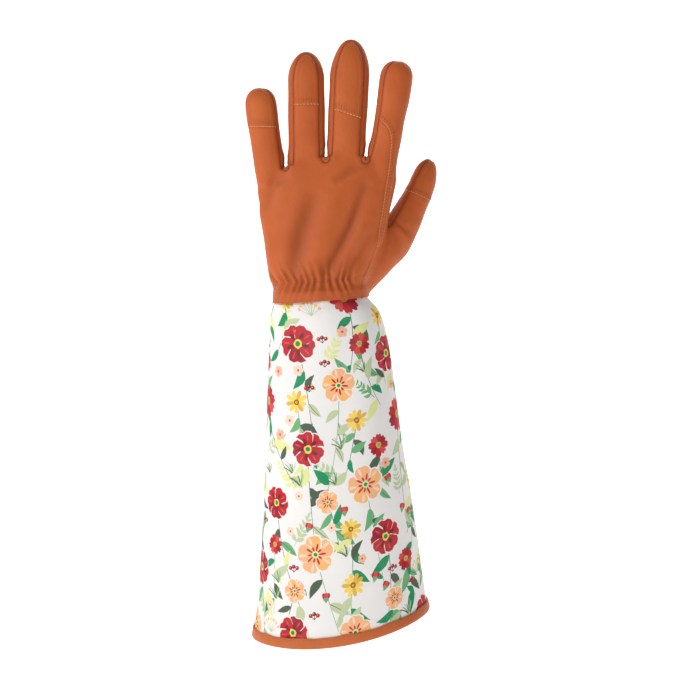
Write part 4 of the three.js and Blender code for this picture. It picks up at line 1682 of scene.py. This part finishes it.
def clipped(shape: Outline, axis: int, limit: float, above: bool) -> Outline:
    """Cuts an outline off at a limit.

    Args:
        shape: The outline's corners.
        axis: 0 to cut across, 1 to cut up.
        limit: Where the cut lies.
        above: Whether what lies above the limit is kept, and not what lies below.

    Returns:
        What is left, with no corners where nothing is.
    """
    left: Outline = []
    sign = 1 if above else -1
    for a, b in zip(shape, shape[1:] + shape[:1]):
        from_a, from_b = sign * (a[axis] - limit), sign * (b[axis] - limit)
        if from_a >= 0:
            left.append(a)
        if from_a * from_b < 0:
            share = from_a / (from_a - from_b)
            left.append((a[0] + share * (b[0] - a[0]), a[1] + share * (b[1] - a[1])))
    return left


@dataclass(frozen=True)
class CutCloth:
    """The flat cloth in triangles cut along its print, each with its colour.

    The numbers say which place each place that was handed in has become.
    """

    places: Array
    triangles: Array
    colours: Array
    numbers: dict[int, int]


@dataclass
class Sleeve:
    """The printed cloth sleeve, from inside its binding to inside the leather.

    The hem rises towards the thumb by hem_rise, and dips behind and rises in front by hem_dip.
    """

    UV_SPAN = 400.0
    form: HandForm
    hem_width: float = 132
    hem_depth: float = 102
    fullness: float = 2.05
    hem_rise: float = 0.158
    hem_dip: float = 0.145
    low: float = 1.4
    top: float = 251
    cloth: float = 1.2
    lap_inset: float = 2.15
    columns: int = 76
    rows: int = 50
    margin: float = 0.25
    least_area: float = 0.05

    # From the hem up: the share of the length, the flare from 1 at the hem, and the lean to the wrist.
    SECTIONS = (
        (0.0, 1.0, 0.055), (0.14, 0.855, 0.125), (0.386, 0.655, 0.26), (0.6, 0.49, 0.44),
        (0.8, 0.34, 0.58), (0.907, 0.235, 0.68), (0.963, 0.145, 0.8), (1.0, 0.0, 1.0),
    )

    def __post_init__(self) -> None:
        """Measures the ring's outline once, so that the print isn't stretched along it."""
        angle = np.linspace(-0.5 * np.pi, 1.5 * np.pi, 721)
        dx, dy = rounded(angle, self.fullness)
        length = np.append(0, np.cumsum(np.hypot(np.diff(dx), 0.775 * np.diff(dy))))
        self.angles, self.lengths = angle, length / length[-1]
        self.round = length[-1]

    def half_sizes(self, height: Array) -> tuple[Array, ...]:
        """The sizes of a ring of the sleeve.

        Args:
            height: The ring's height.

        Returns:
            Its half width and half depth, its middle, its tilt sideways and its dip from front to back.
        """
        form = self.form
        up = np.clip(height / form.cuff_length, -0.02, 1)
        ups, flares, leans = np.array(self.SECTIONS).T
        flare, lean = smooth_curve(ups, flares, up), smooth_curve(ups, leans, up)
        width = form.wrist_width + flare * (self.hem_width - form.wrist_width)
        depth = form.wrist_depth + flare * (self.hem_depth - form.wrist_depth)
        inset = self.lap_inset * ease(-2.5, 2.5, height - form.cuff_length)
        rise = self.hem_rise + (form.wrist_rise - self.hem_rise) * up
        return width / 2 - inset, depth / 2 - inset, form.wrist_x * lean, rise, self.hem_dip * (1 - up)

    def girth(self, height: Array) -> Array:
        """The length round the cloth at a height."""
        return self.half_sizes(height)[0] * self.round

    def surface(self, turn: Array, height: Array, out: Array | float = 0.0) -> Array:
        """Places on the cloth.

        Args:
            turn: Where round the cloth, from -0.5 to 0.5, with 0 in front.
            height: The height from the hem.
            out: How far outside the cloth.

        Returns:
            One place for each.
        """
        wide, deep, middle, rise, dip = self.half_sizes(height)
        angle = np.interp(turn % 1.0, self.lengths, self.angles)
        dx, dy = rounded(angle, self.fullness)
        up = height / self.form.cuff_length
        wave = 0.55 * np.sin(3 * angle + 1.1 + 2.6 * up) * np.sin(2.4 * up + 0.5)
        wave += 0.4 * np.sin(5 * angle - 0.7 + 5.5 * up) * np.sin(6 * up + 1)
        wave += 0.3 * np.sin(8 * angle + 2.1 - 7 * up) * ease(0.1, 0.5, up)
        wave *= ease(0.0, 0.12, up) * ease(0.0, 0.05, 1 - up)
        seam = 0.5 * bell((np.abs(turn) - 0.5) * wide * self.round + 2.0, 1.2)
        seam -= 0.6 * bell((np.abs(turn) - 0.5) * wide * self.round, 0.7)
        out = out + wave + seam * ease(4, 12, height) * ease(0, 6, self.form.cuff_length - height)
        x = (wide + out) * dx
        y = (deep + out) * dy
        return np.stack([middle + x, y, height + rise * x + dip * y * np.abs(dy)], axis=-1)

    def outlines(self, half_width: float) -> list[tuple[Array, float, Ink]]:
        """The print's outlines as far as they lie on the cloth.

        Args:
            half_width: Half the flat cloth's width.

        Returns:
            Each outline's corners, its area and its ink, from the bottom layer up.
        """
        side, bottom, top = 0.4995, self.low + self.margin, self.top - self.margin
        found = []
        for outline, ink in FloralPrint(half_width, self.top).layers:
            shape = [(x / float(self.girth(np.array(y))), y) for x, y in outline]
            for axis, limit, above in ((0, side, False), (0, -side, True), (1, top, False), (1, bottom, True)):
                shape = clipped(shape, axis, limit, above)
            if len(shape) < 3:
                continue
            flat = np.array(shape)
            flat[:, 0] *= self.girth(flat[:, 1])
            after = np.roll(flat, -1, axis=0)
            area = float(np.sum(flat[:, 0] * after[:, 1] - flat[:, 1] * after[:, 0]) / 2)
            if abs(area) >= self.least_area:
                found.append((flat[:: int(np.sign(area))], abs(area), ink))
        return found

    def cut(self, grid: Array, ids: Array) -> CutCloth:
        """Cuts the flat cloth along its print.

        An outline that floods what it doesn't enclose is left out.

        Args:
            grid: The flat cloth's points.
            ids: Their numbers, by row and column.

        Returns:
            The cloth in triangles.
        """
        outlines = self.outlines(float(np.abs(grid[:, 0]).max()))
        border = [*ids[0], *ids[1:, -1], *ids[-1, -2::-1], *ids[-2:0:-1, 0]]
        zones = [[int(i) for i in border]]
        places = [Vector(place) for place in grid.tolist()]
        for outline, _, _ in outlines:
            zones.append(list(range(len(places), len(places) + len(outline))))
            places += [Vector(place) for place in outline.tolist()]
        flat_places, _, triangles, was, _, inside = delaunay_2d_cdt(places, [], zones, 1, 1e-5)
        flat = np.array([(p.x, p.y) for p in flat_places])
        kept = [(t, z) for t, z in zip(triangles, inside) if 0 in z]
        corners = np.array([t for t, _ in kept])
        a, b, c = (flat[corners[:, k]] for k in range(3))
        ab, ac = b - a, c - a
        spans = np.abs(ab[:, 0] * ac[:, 1] - ab[:, 1] * ac[:, 0]) / 2
        members = np.concatenate([z for _, z in kept])
        covered = np.bincount(members, np.repeat(spans, [len(z) for _, z in kept]), len(zones))
        sound = covered < 1.2 * np.array([0.0, *(area for _, area, _ in outlines)]) + 0.3
        sound[0] = True
        inks = [Ink.GROUND, *(ink for *_, ink in outlines)]
        colours = np.array([(*inks[max(i for i in z if sound[i])].value, 1.0) for _, z in kept])
        log.info("print: %d outlines, %d left out", len(zones), int((~sound).sum()))
        return CutCloth(flat, corners, colours, {old: new for new, olds in enumerate(was) for old in olds})

    def built(self) -> Object:
        """The sleeve as one closed wall.

        Returns:
            The wall, with its print in a colour attribute and its flat places in a UV map.
        """
        height = np.linspace(self.low, self.top, self.rows + 1)
        turn = np.linspace(-0.5, 0.5, self.columns + 1)
        across = (turn[None, :] * self.girth(height)[:, None]).ravel()
        up = np.repeat(height, self.columns + 1)
        grid = np.column_stack([across, up])
        ids = np.arange(len(grid)).reshape(self.rows + 1, self.columns + 1)
        cloth = self.cut(grid, ids)
        now = cloth.numbers
        outer = self.surface(cloth.places[:, 0] / self.girth(cloth.places[:, 1]), cloth.places[:, 1])
        inner = self.surface(across / self.girth(up), up, -self.cloth)
        start = len(outer)
        seam = np.arange(start + len(inner))
        for row in ids:
            seam[now[int(row[-1])]] = now[int(row[0])]
            seam[start + row[-1]] = start + row[0]
        spots = np.stack([ids[:-1, :-1], ids[1:, :-1], ids[1:, 1:], ids[:-1, 1:]], axis=2).reshape(-1, 4)
        quads, edges = [*(spots + start)], []
        for c in range(self.columns):
            for a, b in ((ids[0, c], ids[0, c + 1]), (ids[-1, c + 1], ids[-1, c])):
                quads.append((now[int(a)], start + a, start + b, now[int(b)]))
                edges.append((a, a, b, b))
        corners = np.concatenate([seam[cloth.triangles].ravel(), seam[np.array(quads)].ravel()])
        used, back = np.unique(corners, return_inverse=True)
        printed = cloth.triangles.size
        faces = [*back[:printed].reshape(-1, 3), *back[printed:].reshape(-1, 4)]
        obj = Mesh(np.vstack([outer, inner])[used], faces).placed("cuff_cloth")
        plain = np.tile((*Ink.GROUND.value, 1.0), (len(back) - printed, 1))
        shades = np.vstack([np.repeat(cloth.colours, 3, axis=0), plain])
        ink_layer = obj.data.color_attributes.new("print", "FLOAT_COLOR", "CORNER")
        uv_layer = obj.data.uv_layers.new(name="flat")
        ink_layer.data.foreach_set("color", shades.ravel())
        flats = np.vstack([cloth.places[cloth.triangles.ravel()], grid[spots.ravel()], grid[np.ravel(edges)]])
        uv_layer.data.foreach_set("uv", (flats / self.UV_SPAN + (0.5, 0.02)).ravel())
        return obj


@dataclass
class Binding:
    """The leather strip that is folded over the hem."""

    sleeve: Sleeve
    steps: int = 200
    stitch_steps: int = 240
    stitch_height: float = 6.0
    stitch_out: float = 1.34

    # The strip's section: outside the cloth, and up from the hem's edge.
    SECTION = (
        (0.25, 7.0), (0.6, 7.62), (1.05, 7.6), (1.4, 7.1), (1.5, 6.0), (1.62, 3.6), (1.52, 1.4),
        (1.05, 0.35), (0.2, -0.1), (-0.7, -0.15), (-1.7, 0.05), (-2.4, 0.6), (-2.75, 1.9), (-2.75, 6.4),
        (-2.4, 7.3), (-1.8, 7.4), (-1.5, 6.8), (-1.45, 1.9), (-0.9, 1.15), (-0.1, 1.15), (0.25, 1.9),
    )

    def built(self) -> Object:
        """The binding as one closed loop.

        Returns:
            The strip.
        """
        turn = np.linspace(-0.5, 0.5, self.steps, endpoint=False)[:, None]
        out, height = np.array(self.SECTION).T
        sway = 0.22 * np.sin(2 * np.pi * 11 * turn + 1) + 0.15 * np.sin(2 * np.pi * 23 * turn)
        shown = np.clip(out, 0, None)
        bulge = 0.12 * np.sin(2 * np.pi * 37 * turn) * bell(height - 4, 3) * (out > 0.5)
        groove = -0.28 * bell(height - self.stitch_height, 0.7) * (out > 1)
        rings = self.sleeve.surface(
            np.broadcast_to(turn, (self.steps, len(out))),
            height + sway * (height > 5) * (shown > 0),
            out + bulge + groove,
        )
        return loft(rings[:, ::-1], capped=False, looped=True).placed("hem_binding_strip")

    def stitched(self, sewing: StitchTree, thread: Material) -> Object:
        """The stitches that hold the binding.

        Args:
            sewing: What sews them.
            thread: Their thread.

        Returns:
            The stitches.
        """
        count = self.stitch_steps
        turns = np.linspace(-0.5, 0.5, count, endpoint=False)
        height = np.full(count, self.stitch_height)
        spots = self.sleeve.surface(turns, height, self.stitch_out)
        outward = unit(spots - self.sleeve.surface(turns, height, 0.3))
        ring = np.stack([np.arange(count), np.roll(np.arange(count), -1)], axis=1)
        row = Row(spots, ring, outward)
        return sewing.sewn(row, "hem_topstitch", thread, Spacing=3.1, Length=2.2, Width=0.4, Wander=3)


@dataclass(frozen=True)
class Row:
    """Where a row of stitches runs: joined points, with the way that the surface faces at each."""

    points: Array
    edges: Array
    facing: Array


def joined_rows(rows: Sequence[Row]) -> Row:
    """Joins rows.

    Args:
        rows: The rows.

    Returns:
        One row of them all.
    """
    starts = np.cumsum([0, *(len(r.points) for r in rows[:-1])])
    edges = [r.edges + s for r, s in zip(rows, starts)]
    return Row(np.vstack([r.points for r in rows]), np.vstack(edges), np.vstack([r.facing for r in rows]))


class StitchTree(Nodes):
    """Geometry nodes that sew a row: one small thread for each stitch, laid along the row or across it.

    Turn is the way that the stitches lie from the row, and Wander how far each may stray from it.
    """

    INPUTS = ("Spacing", "Length", "Width", "Turn", "Wander")

    def __init__(self) -> None:
        """Builds the tree."""
        super().__init__(bpy.data.node_groups.new("sewing", "GeometryNodeTree"))
        face = self.tree.interface
        for way in ("OUTPUT", "INPUT"):
            face.new_socket("Geometry", in_out=way, socket_type="NodeSocketGeometry")
        self.ids = {}
        kinds = {**dict.fromkeys(self.INPUTS, "NodeSocketFloat"), "Thread": "NodeSocketMaterial"}
        for name, kind in kinds.items():
            self.ids[name] = face.new_socket(name, in_out="INPUT", socket_type=kind).identifier
        given = {s.name: Wire(self, s) for s in self.tree.nodes.new("NodeGroupInput").outputs}
        line = self.node("GeometryNodeMeshToCurve", {}, given["Geometry"])
        line = self.node("GeometryNodeResampleCurve", {"mode": "LENGTH"}, Curve=line, Length=given["Spacing"])
        facing = self.node("GeometryNodeInputNamedAttribute", {"data_type": "FLOAT_VECTOR"}, "facing")
        along = self.node("GeometryNodeInputTangent")
        axes = {"primary_axis": "Z", "secondary_axis": "X"}
        laid = self.node("FunctionNodeAxesToRotation", axes, facing, along)
        swing = {"operation": "MULTIPLY_ADD"}
        swing = self.node("ShaderNodeMath", swing, self.chance(-1.0, 1.0, 5), given["Wander"], given["Turn"])
        spin = self.node("FunctionNodeEulerToRotation", {}, self.node("ShaderNodeCombineXYZ", Z=swing))
        laid = self.node("FunctionNodeRotateRotation", {"rotation_space": "LOCAL"}, laid, spin)
        length = self.chance(0.82, 1.1, 9) * given["Length"]
        size = self.node("ShaderNodeCombineXYZ", {}, length, given["Width"], given["Width"])
        ball = self.node("GeometryNodeMeshUVSphere", Segments=8, Rings=4, Radius=0.5)
        sewn = self.node("GeometryNodeInstanceOnPoints", {}, line, Instance=ball, Rotation=laid, Scale=size)
        solid = self.node("GeometryNodeRealizeInstances", {}, sewn)
        smooth = self.node("GeometryNodeSetShadeSmooth", {}, solid)
        made = self.node("GeometryNodeSetMaterial", Geometry=smooth, Material=given["Thread"])
        self.tree.links.new(made.socket, self.tree.nodes.new("NodeGroupOutput").inputs[0])

    def chance(self, low: float, high: float, seed: int) -> Wire:
        """A random number for each stitch."""
        settings = {"data_type": "FLOAT"}
        return self.node("FunctionNodeRandomValue", settings, output=1, Min=low, Max=high, Seed=seed)

    def sewn(self, row: Row, name: str, thread: Material, **sizes: float) -> Object:
        """Sews a row.

        Args:
            row: Where it runs.
            name: The piece's name.
            thread: The thread's material.
            **sizes: The tree's inputs, in millimetres and degrees.

        Returns:
            The stitches as one plain mesh.
        """
        data = bpy.data.meshes.new(name)
        data.from_pydata((row.points * MM).tolist(), row.edges.tolist(), [])
        layer = data.attributes.new("facing", "FLOAT_VECTOR", "POINT")
        layer.data.foreach_set("vector", row.facing.ravel())
        obj = linked(data)
        work = obj.modifiers.new("Sewing", "NODES")
        work.node_group = self.tree
        for key, value in sizes.items():
            work[self.ids[key]] = math.radians(value) if key in ("Turn", "Wander") else value * MM
        work[self.ids["Thread"]] = thread
        data = evaluated_mesh(obj)
        data.name = name
        return linked(data)


@dataclass(frozen=True)
class Threads:
    """The threads of the hand's seams, and the dark marks beside them that paint the shade of needle holes."""

    tan: Material
    faded: Material
    plain: Material
    # Dark marks that paint the shade of needle holes.
    dark: Material


@dataclass
class Hand:
    """The leather of the hand and its stitches, dressed.

    The stitches beside the wrap's edge change on the way up: loose ones, then a row above wrap_from with a
    second row and bars across, and ticks from ticks_from on.
    """

    skin: HandSkin
    sewing: StitchTree
    threads: Threads
    loose: Pair = (256, 275)
    wrap_from: float = 284
    second: Pair = (286, 338)
    bars: Pair = (288, 332)
    ticks_from: float = 332

    def contour(self, values: Array, level: float, keep: Array, lift: float = 0.05) -> Row:
        """The line on the skin where values pass a level.

        Args:
            values: One value for each point of the skin.
            level: The level of the line.
            keep: Which points the line may pass.
            lift: How far the line stands off the skin.

        Returns:
            The line, maybe in several lengths.
        """
        skin = self.skin
        crossed = crossings_of(values - level + 1e-7, skin.triangles, keep)
        points, facing = crossed.between(skin.points), crossed.between(skin.normals)
        cuts = np.sort(crossed.cuts, axis=1)
        edges = cuts[cuts[:, 1] >= 0][:, 1:]
        return Row(points + facing * lift, edges, facing)

    def dress(self, leather: Material, patch: Material) -> None:
        """Builds each leather piece and sets it in its node's place.

        Args:
            leather: The leather of the hand.
            patch: The leather of the fingertip patches.
        """
        for part in Part:
            mesh, shade = self.skin.panel_mesh(part)
            obj = mesh.placed(part.value + "_leather")
            # The painted shade that the leather's colour reads.
            obj.data.attributes.new("shade", "FLOAT", "POINT").data.foreach_set("value", shade)
            tip = part.name.endswith("_TIP")
            settle(obj, "patch_leather" if tip else "leather", patch if tip else leather, part.value)

    def sew(self) -> None:
        """Sews the seams of the hand."""
        self.sew_wrap()
        self.sew_tips()
        skin = self.skin
        edge = skin.value(Field.EDGE)
        elastic = self.contour(edge, skin.gather_height, (skin.value(Field.BACK) > 1) | (skin.front < 0), 0.12)
        self.put(elastic, "elastic_stitch", self.threads.plain, Spacing=3.0, Length=1.6, Width=0.34, Wander=8)
        lower = self.contour(edge, 2.4, edge < 6)
        self.put(lower, "lower_topstitch", self.threads.plain, Spacing=2.9, Length=2.1, Width=0.36, Wander=3)

    def sew_wrap(self) -> None:
        """Sews the wrap's leather beside the edge of the back."""
        skin, faded = self.skin, self.threads.faded
        z, back = skin.base[:, 2], skin.value(Field.BACK)
        beside = (back < 0) & (skin.front > 2.5) & (skin.value(Field.PANEL) > 1)
        beside &= skin.value(Field.EDGE) > 9

        def line(level: float, low: float, high: float = math.inf) -> Row:
            """A line beside the edge between two heights."""
            return self.contour(back, -level, beside & (z > low) & (z < high))

        rows = joined_rows([line(0.9, self.wrap_from), line(4.6, *self.second)])
        self.put(rows, "wrap_topstitch", faded, Spacing=2.3, Length=2.15, Width=0.56, Wander=4)
        bars = line(2.8, *self.bars)
        self.put(bars, "wrap_bars", faded, Spacing=2.6, Length=1.5, Width=0.34, Turn=90, Wander=14)
        strays = joined_rows([line(1.2, *self.loose), line(5.2, *self.loose)])
        self.put(strays, "wrap_strays", faded, Spacing=2.5, Length=1.2, Width=0.36, Turn=45, Wander=60)
        # The ticks paint the shade of needle holes.
        ticks, dark = line(2.9, self.ticks_from), self.threads.dark
        self.put(ticks, "wrap_tip_ticks", dark, Spacing=2.4, Length=2.4, Width=0.36, Turn=90, Wander=6)

    def sew_tips(self) -> None:
        """Sews the lower edges of the fingertip patches."""
        form, seams, back = self.skin.form, self.skin.seams, self.skin.value(Field.BACK)
        base = self.skin.base
        flat = base[:, [0, 2]]
        crossings, marks = [], []
        for f in FINGERS:
            if f.patch:
                box = signed_distance(flat, seams.patch_box(f))
                crossings.append(self.contour(box, 0.7, back > 1.2))
                marks += [self.contour(box, level, back > 2.2) for level in (2.6, 3.9, 5.2)]
        place, along, _, out = (v[0] for v in form.thumb_line(np.array([seams.thumb_at])))
        past = (base - form.thumb_line(np.array([seams.thumb_patch_from]))[0][0]) @ along
        near = (back < -1) & (self.skin.value(Field.PANEL) > 1) & ((base - place) @ out < 14)
        near &= (np.abs(past) < 9) & (signed_distance(flat, seams.thumb_box()) > 1)
        crossings.append(self.contour(past, 0.7, near))
        marks += [self.contour(past, level, near) for level in (2.6, 3.9)]
        edges, ticks = joined_rows(crossings), joined_rows(marks)
        self.put(edges, "tip_topstitch", self.threads.tan, Spacing=2.3, Length=2.05, Width=0.56, Wander=4)
        # The ticks paint the shade of needle holes.
        self.put(ticks, "tip_ticks", self.threads.dark, Spacing=1.9, Length=1.0, Width=0.34, Turn=90, Wander=5)

    def put(self, row: Row, name: str, thread: Material, **sizes: float) -> None:
        """Sews one row and rides it."""
        settle(self.sewing.sewn(row, name, thread, **sizes), None, thread)


def settle(obj: Object, slot: str | None, material: Material, *nodes: str) -> None:
    """Finishes a piece.

    Args:
        obj: The piece.
        slot: The record's material slot, or None for thread; not used.
        material: Its material.
        *nodes: The nodes of the frame that it stands for.
    """
    obj.data.materials.clear()
    obj.data.materials.append(material)
    obj.data.shade_smooth()
    obj.data.set_sharp_from_angle(angle=math.radians(48))
    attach(obj, "root")
    if nodes:
        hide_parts(*nodes)
    log.info("%s: %d faces", obj.name, len(obj.data.polygons))


@dataclass(frozen=True)
class Studio:
    """The camera, the lights and the pale floor, in metres."""

    target: Spot = (-0.0015, 0.0, 0.214)
    distance: float = 1.5
    elevation: float = 4.0
    frame: float = 0.51
    sky: float = 0.34
    floor_height: float = -0.06
    floor_reach: float = 3.0
    sweep_start: float = 0.9
    sweep: float = 0.6
    wall_top: float = 2.6

    # Each lamp's place, size and power.
    LAMPS = {
        "key": ((-1.6, -1.0, 1.15), 0.5, 19.5),
        "fill": ((-0.4, -1.95, 0.35), 1.0, 4.5),
        "rim": ((0.6, 1.0, 1.2), 0.9, 6),
    }

    def aimed(self, data: bpy.types.ID, place: Vector) -> Object:
        """Puts a camera or a lamp at a place.

        Args:
            data: The camera or the lamp.
            place: Where it stands.

        Returns:
            Its object, which looks at the target.
        """
        obj = linked(data)
        obj.location = place
        obj.rotation_euler = (Vector(self.target) - place).to_track_quat("-Z", "Y").to_euler()
        return obj

    def camera(self) -> None:
        """Places the camera at the photograph's angle."""
        data = bpy.data.cameras.new("camera")
        data.sensor_width = 36
        data.lens = data.sensor_width * self.distance / self.frame
        up = math.radians(self.elevation)
        away = Vector((0, -math.cos(up), math.sin(up))) * self.distance
        bpy.context.scene.camera = self.aimed(data, Vector(self.target) + away)

    def light(self) -> None:
        """Sets the world and the lamps."""
        world = bpy.data.worlds.new("studio")
        world.use_nodes = True
        sky = world.node_tree.nodes["Background"]
        sky.inputs["Color"].default_value = (1, 1, 1, 1)
        sky.inputs["Strength"].default_value = self.sky
        scene = bpy.context.scene
        scene.world = world
        scene.view_settings.view_transform = "Standard"
        for name, (place, size, power) in self.LAMPS.items():
            data = bpy.data.lights.new(name, "AREA")
            data.size = size
            data.energy = power
            self.aimed(data, Vector(place))

    def floor(self) -> None:
        """The pale floor, swept up behind."""
        s = Shader("pale_floor")
        colour = s.mixed(s.noise(60, 2, 0.5), (0.95,) * 3, (0.93,) * 3)
        glow = {"Emission_Color": (1, 1, 1), "Emission_Strength": 0.62}
        material = s.finish(Base_Color=colour, Roughness=0.9, **glow)
        z, back, radius = self.floor_height, self.sweep_start, self.sweep
        angles = np.radians(range(10, 91, 10))
        bend = [(back + radius * math.sin(a), z + radius - radius * math.cos(a)) for a in angles]
        line = [(-self.floor_reach, z), (back, z), *bend, (back + radius, self.wall_top)]
        points = [(x, y, h) for y, h in line for x in (-self.floor_reach, self.floor_reach)]
        faces = [(2 * i, 2 * i + 1, 2 * i + 3, 2 * i + 2) for i in range(len(line) - 1)]
        data = bpy.data.meshes.new("floor")
        data.from_pydata(points, [], faces)
        data.materials.append(material)
        data.shade_smooth()
        linked(data)


def main() -> None:
    """Builds the gauntlet round the frame."""
    logging.basicConfig(level=logging.INFO, format="%(name)s: %(message)s")
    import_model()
    studio = Studio()
    studio.camera()
    studio.light()
    studio.floor()
    # The third colour of each leather is its painted shade, which the pieces' shade attribute mixes in.
    leather = LeatherFinish("leather", srgb(191, 94, 42), srgb(176, 82, 34), srgb(120, 50, 22)).made()
    patch = LeatherFinish("patch_leather", srgb(190, 95, 42), srgb(176, 83, 34), srgb(118, 50, 22), 0.52)
    edging = LeatherFinish("binding_leather", srgb(194, 102, 52), srgb(180, 92, 45), srgb(120, 52, 24))
    threads = Threads(
        tan=ThreadFinish("tan_thread", srgb(230, 168, 116)).made(),
        faded=ThreadFinish("faded_thread", srgb(214, 142, 92)).made(),
        plain=ThreadFinish("plain_thread", srgb(196, 108, 62)).made(),
        # Dark marks that paint the shade of needle holes.
        dark=ThreadFinish("needle_hole_shade", srgb(134, 66, 34), 0.8).made(),
    )
    sewing = StitchTree()
    skin = HandSkin()
    log.info("skin: %d points", len(skin.points))
    hand = Hand(skin, sewing, threads)
    hand.dress(leather, patch.made())
    hand.sew()
    sleeve = Sleeve(skin.form)
    cuff = sleeve.built()
    settle(cuff, "printed_cloth", ClothFinish("printed_cloth").made(), "cuff_sleeve")
    strip = Binding(sleeve)
    binding = strip.built()
    settle(binding, "binding_leather", edging.made(), "hem_binding")
    hem = strip.stitched(sewing, threads.plain)
    settle(hem, None, threads.plain)


if __name__ == "__main__":
    main()
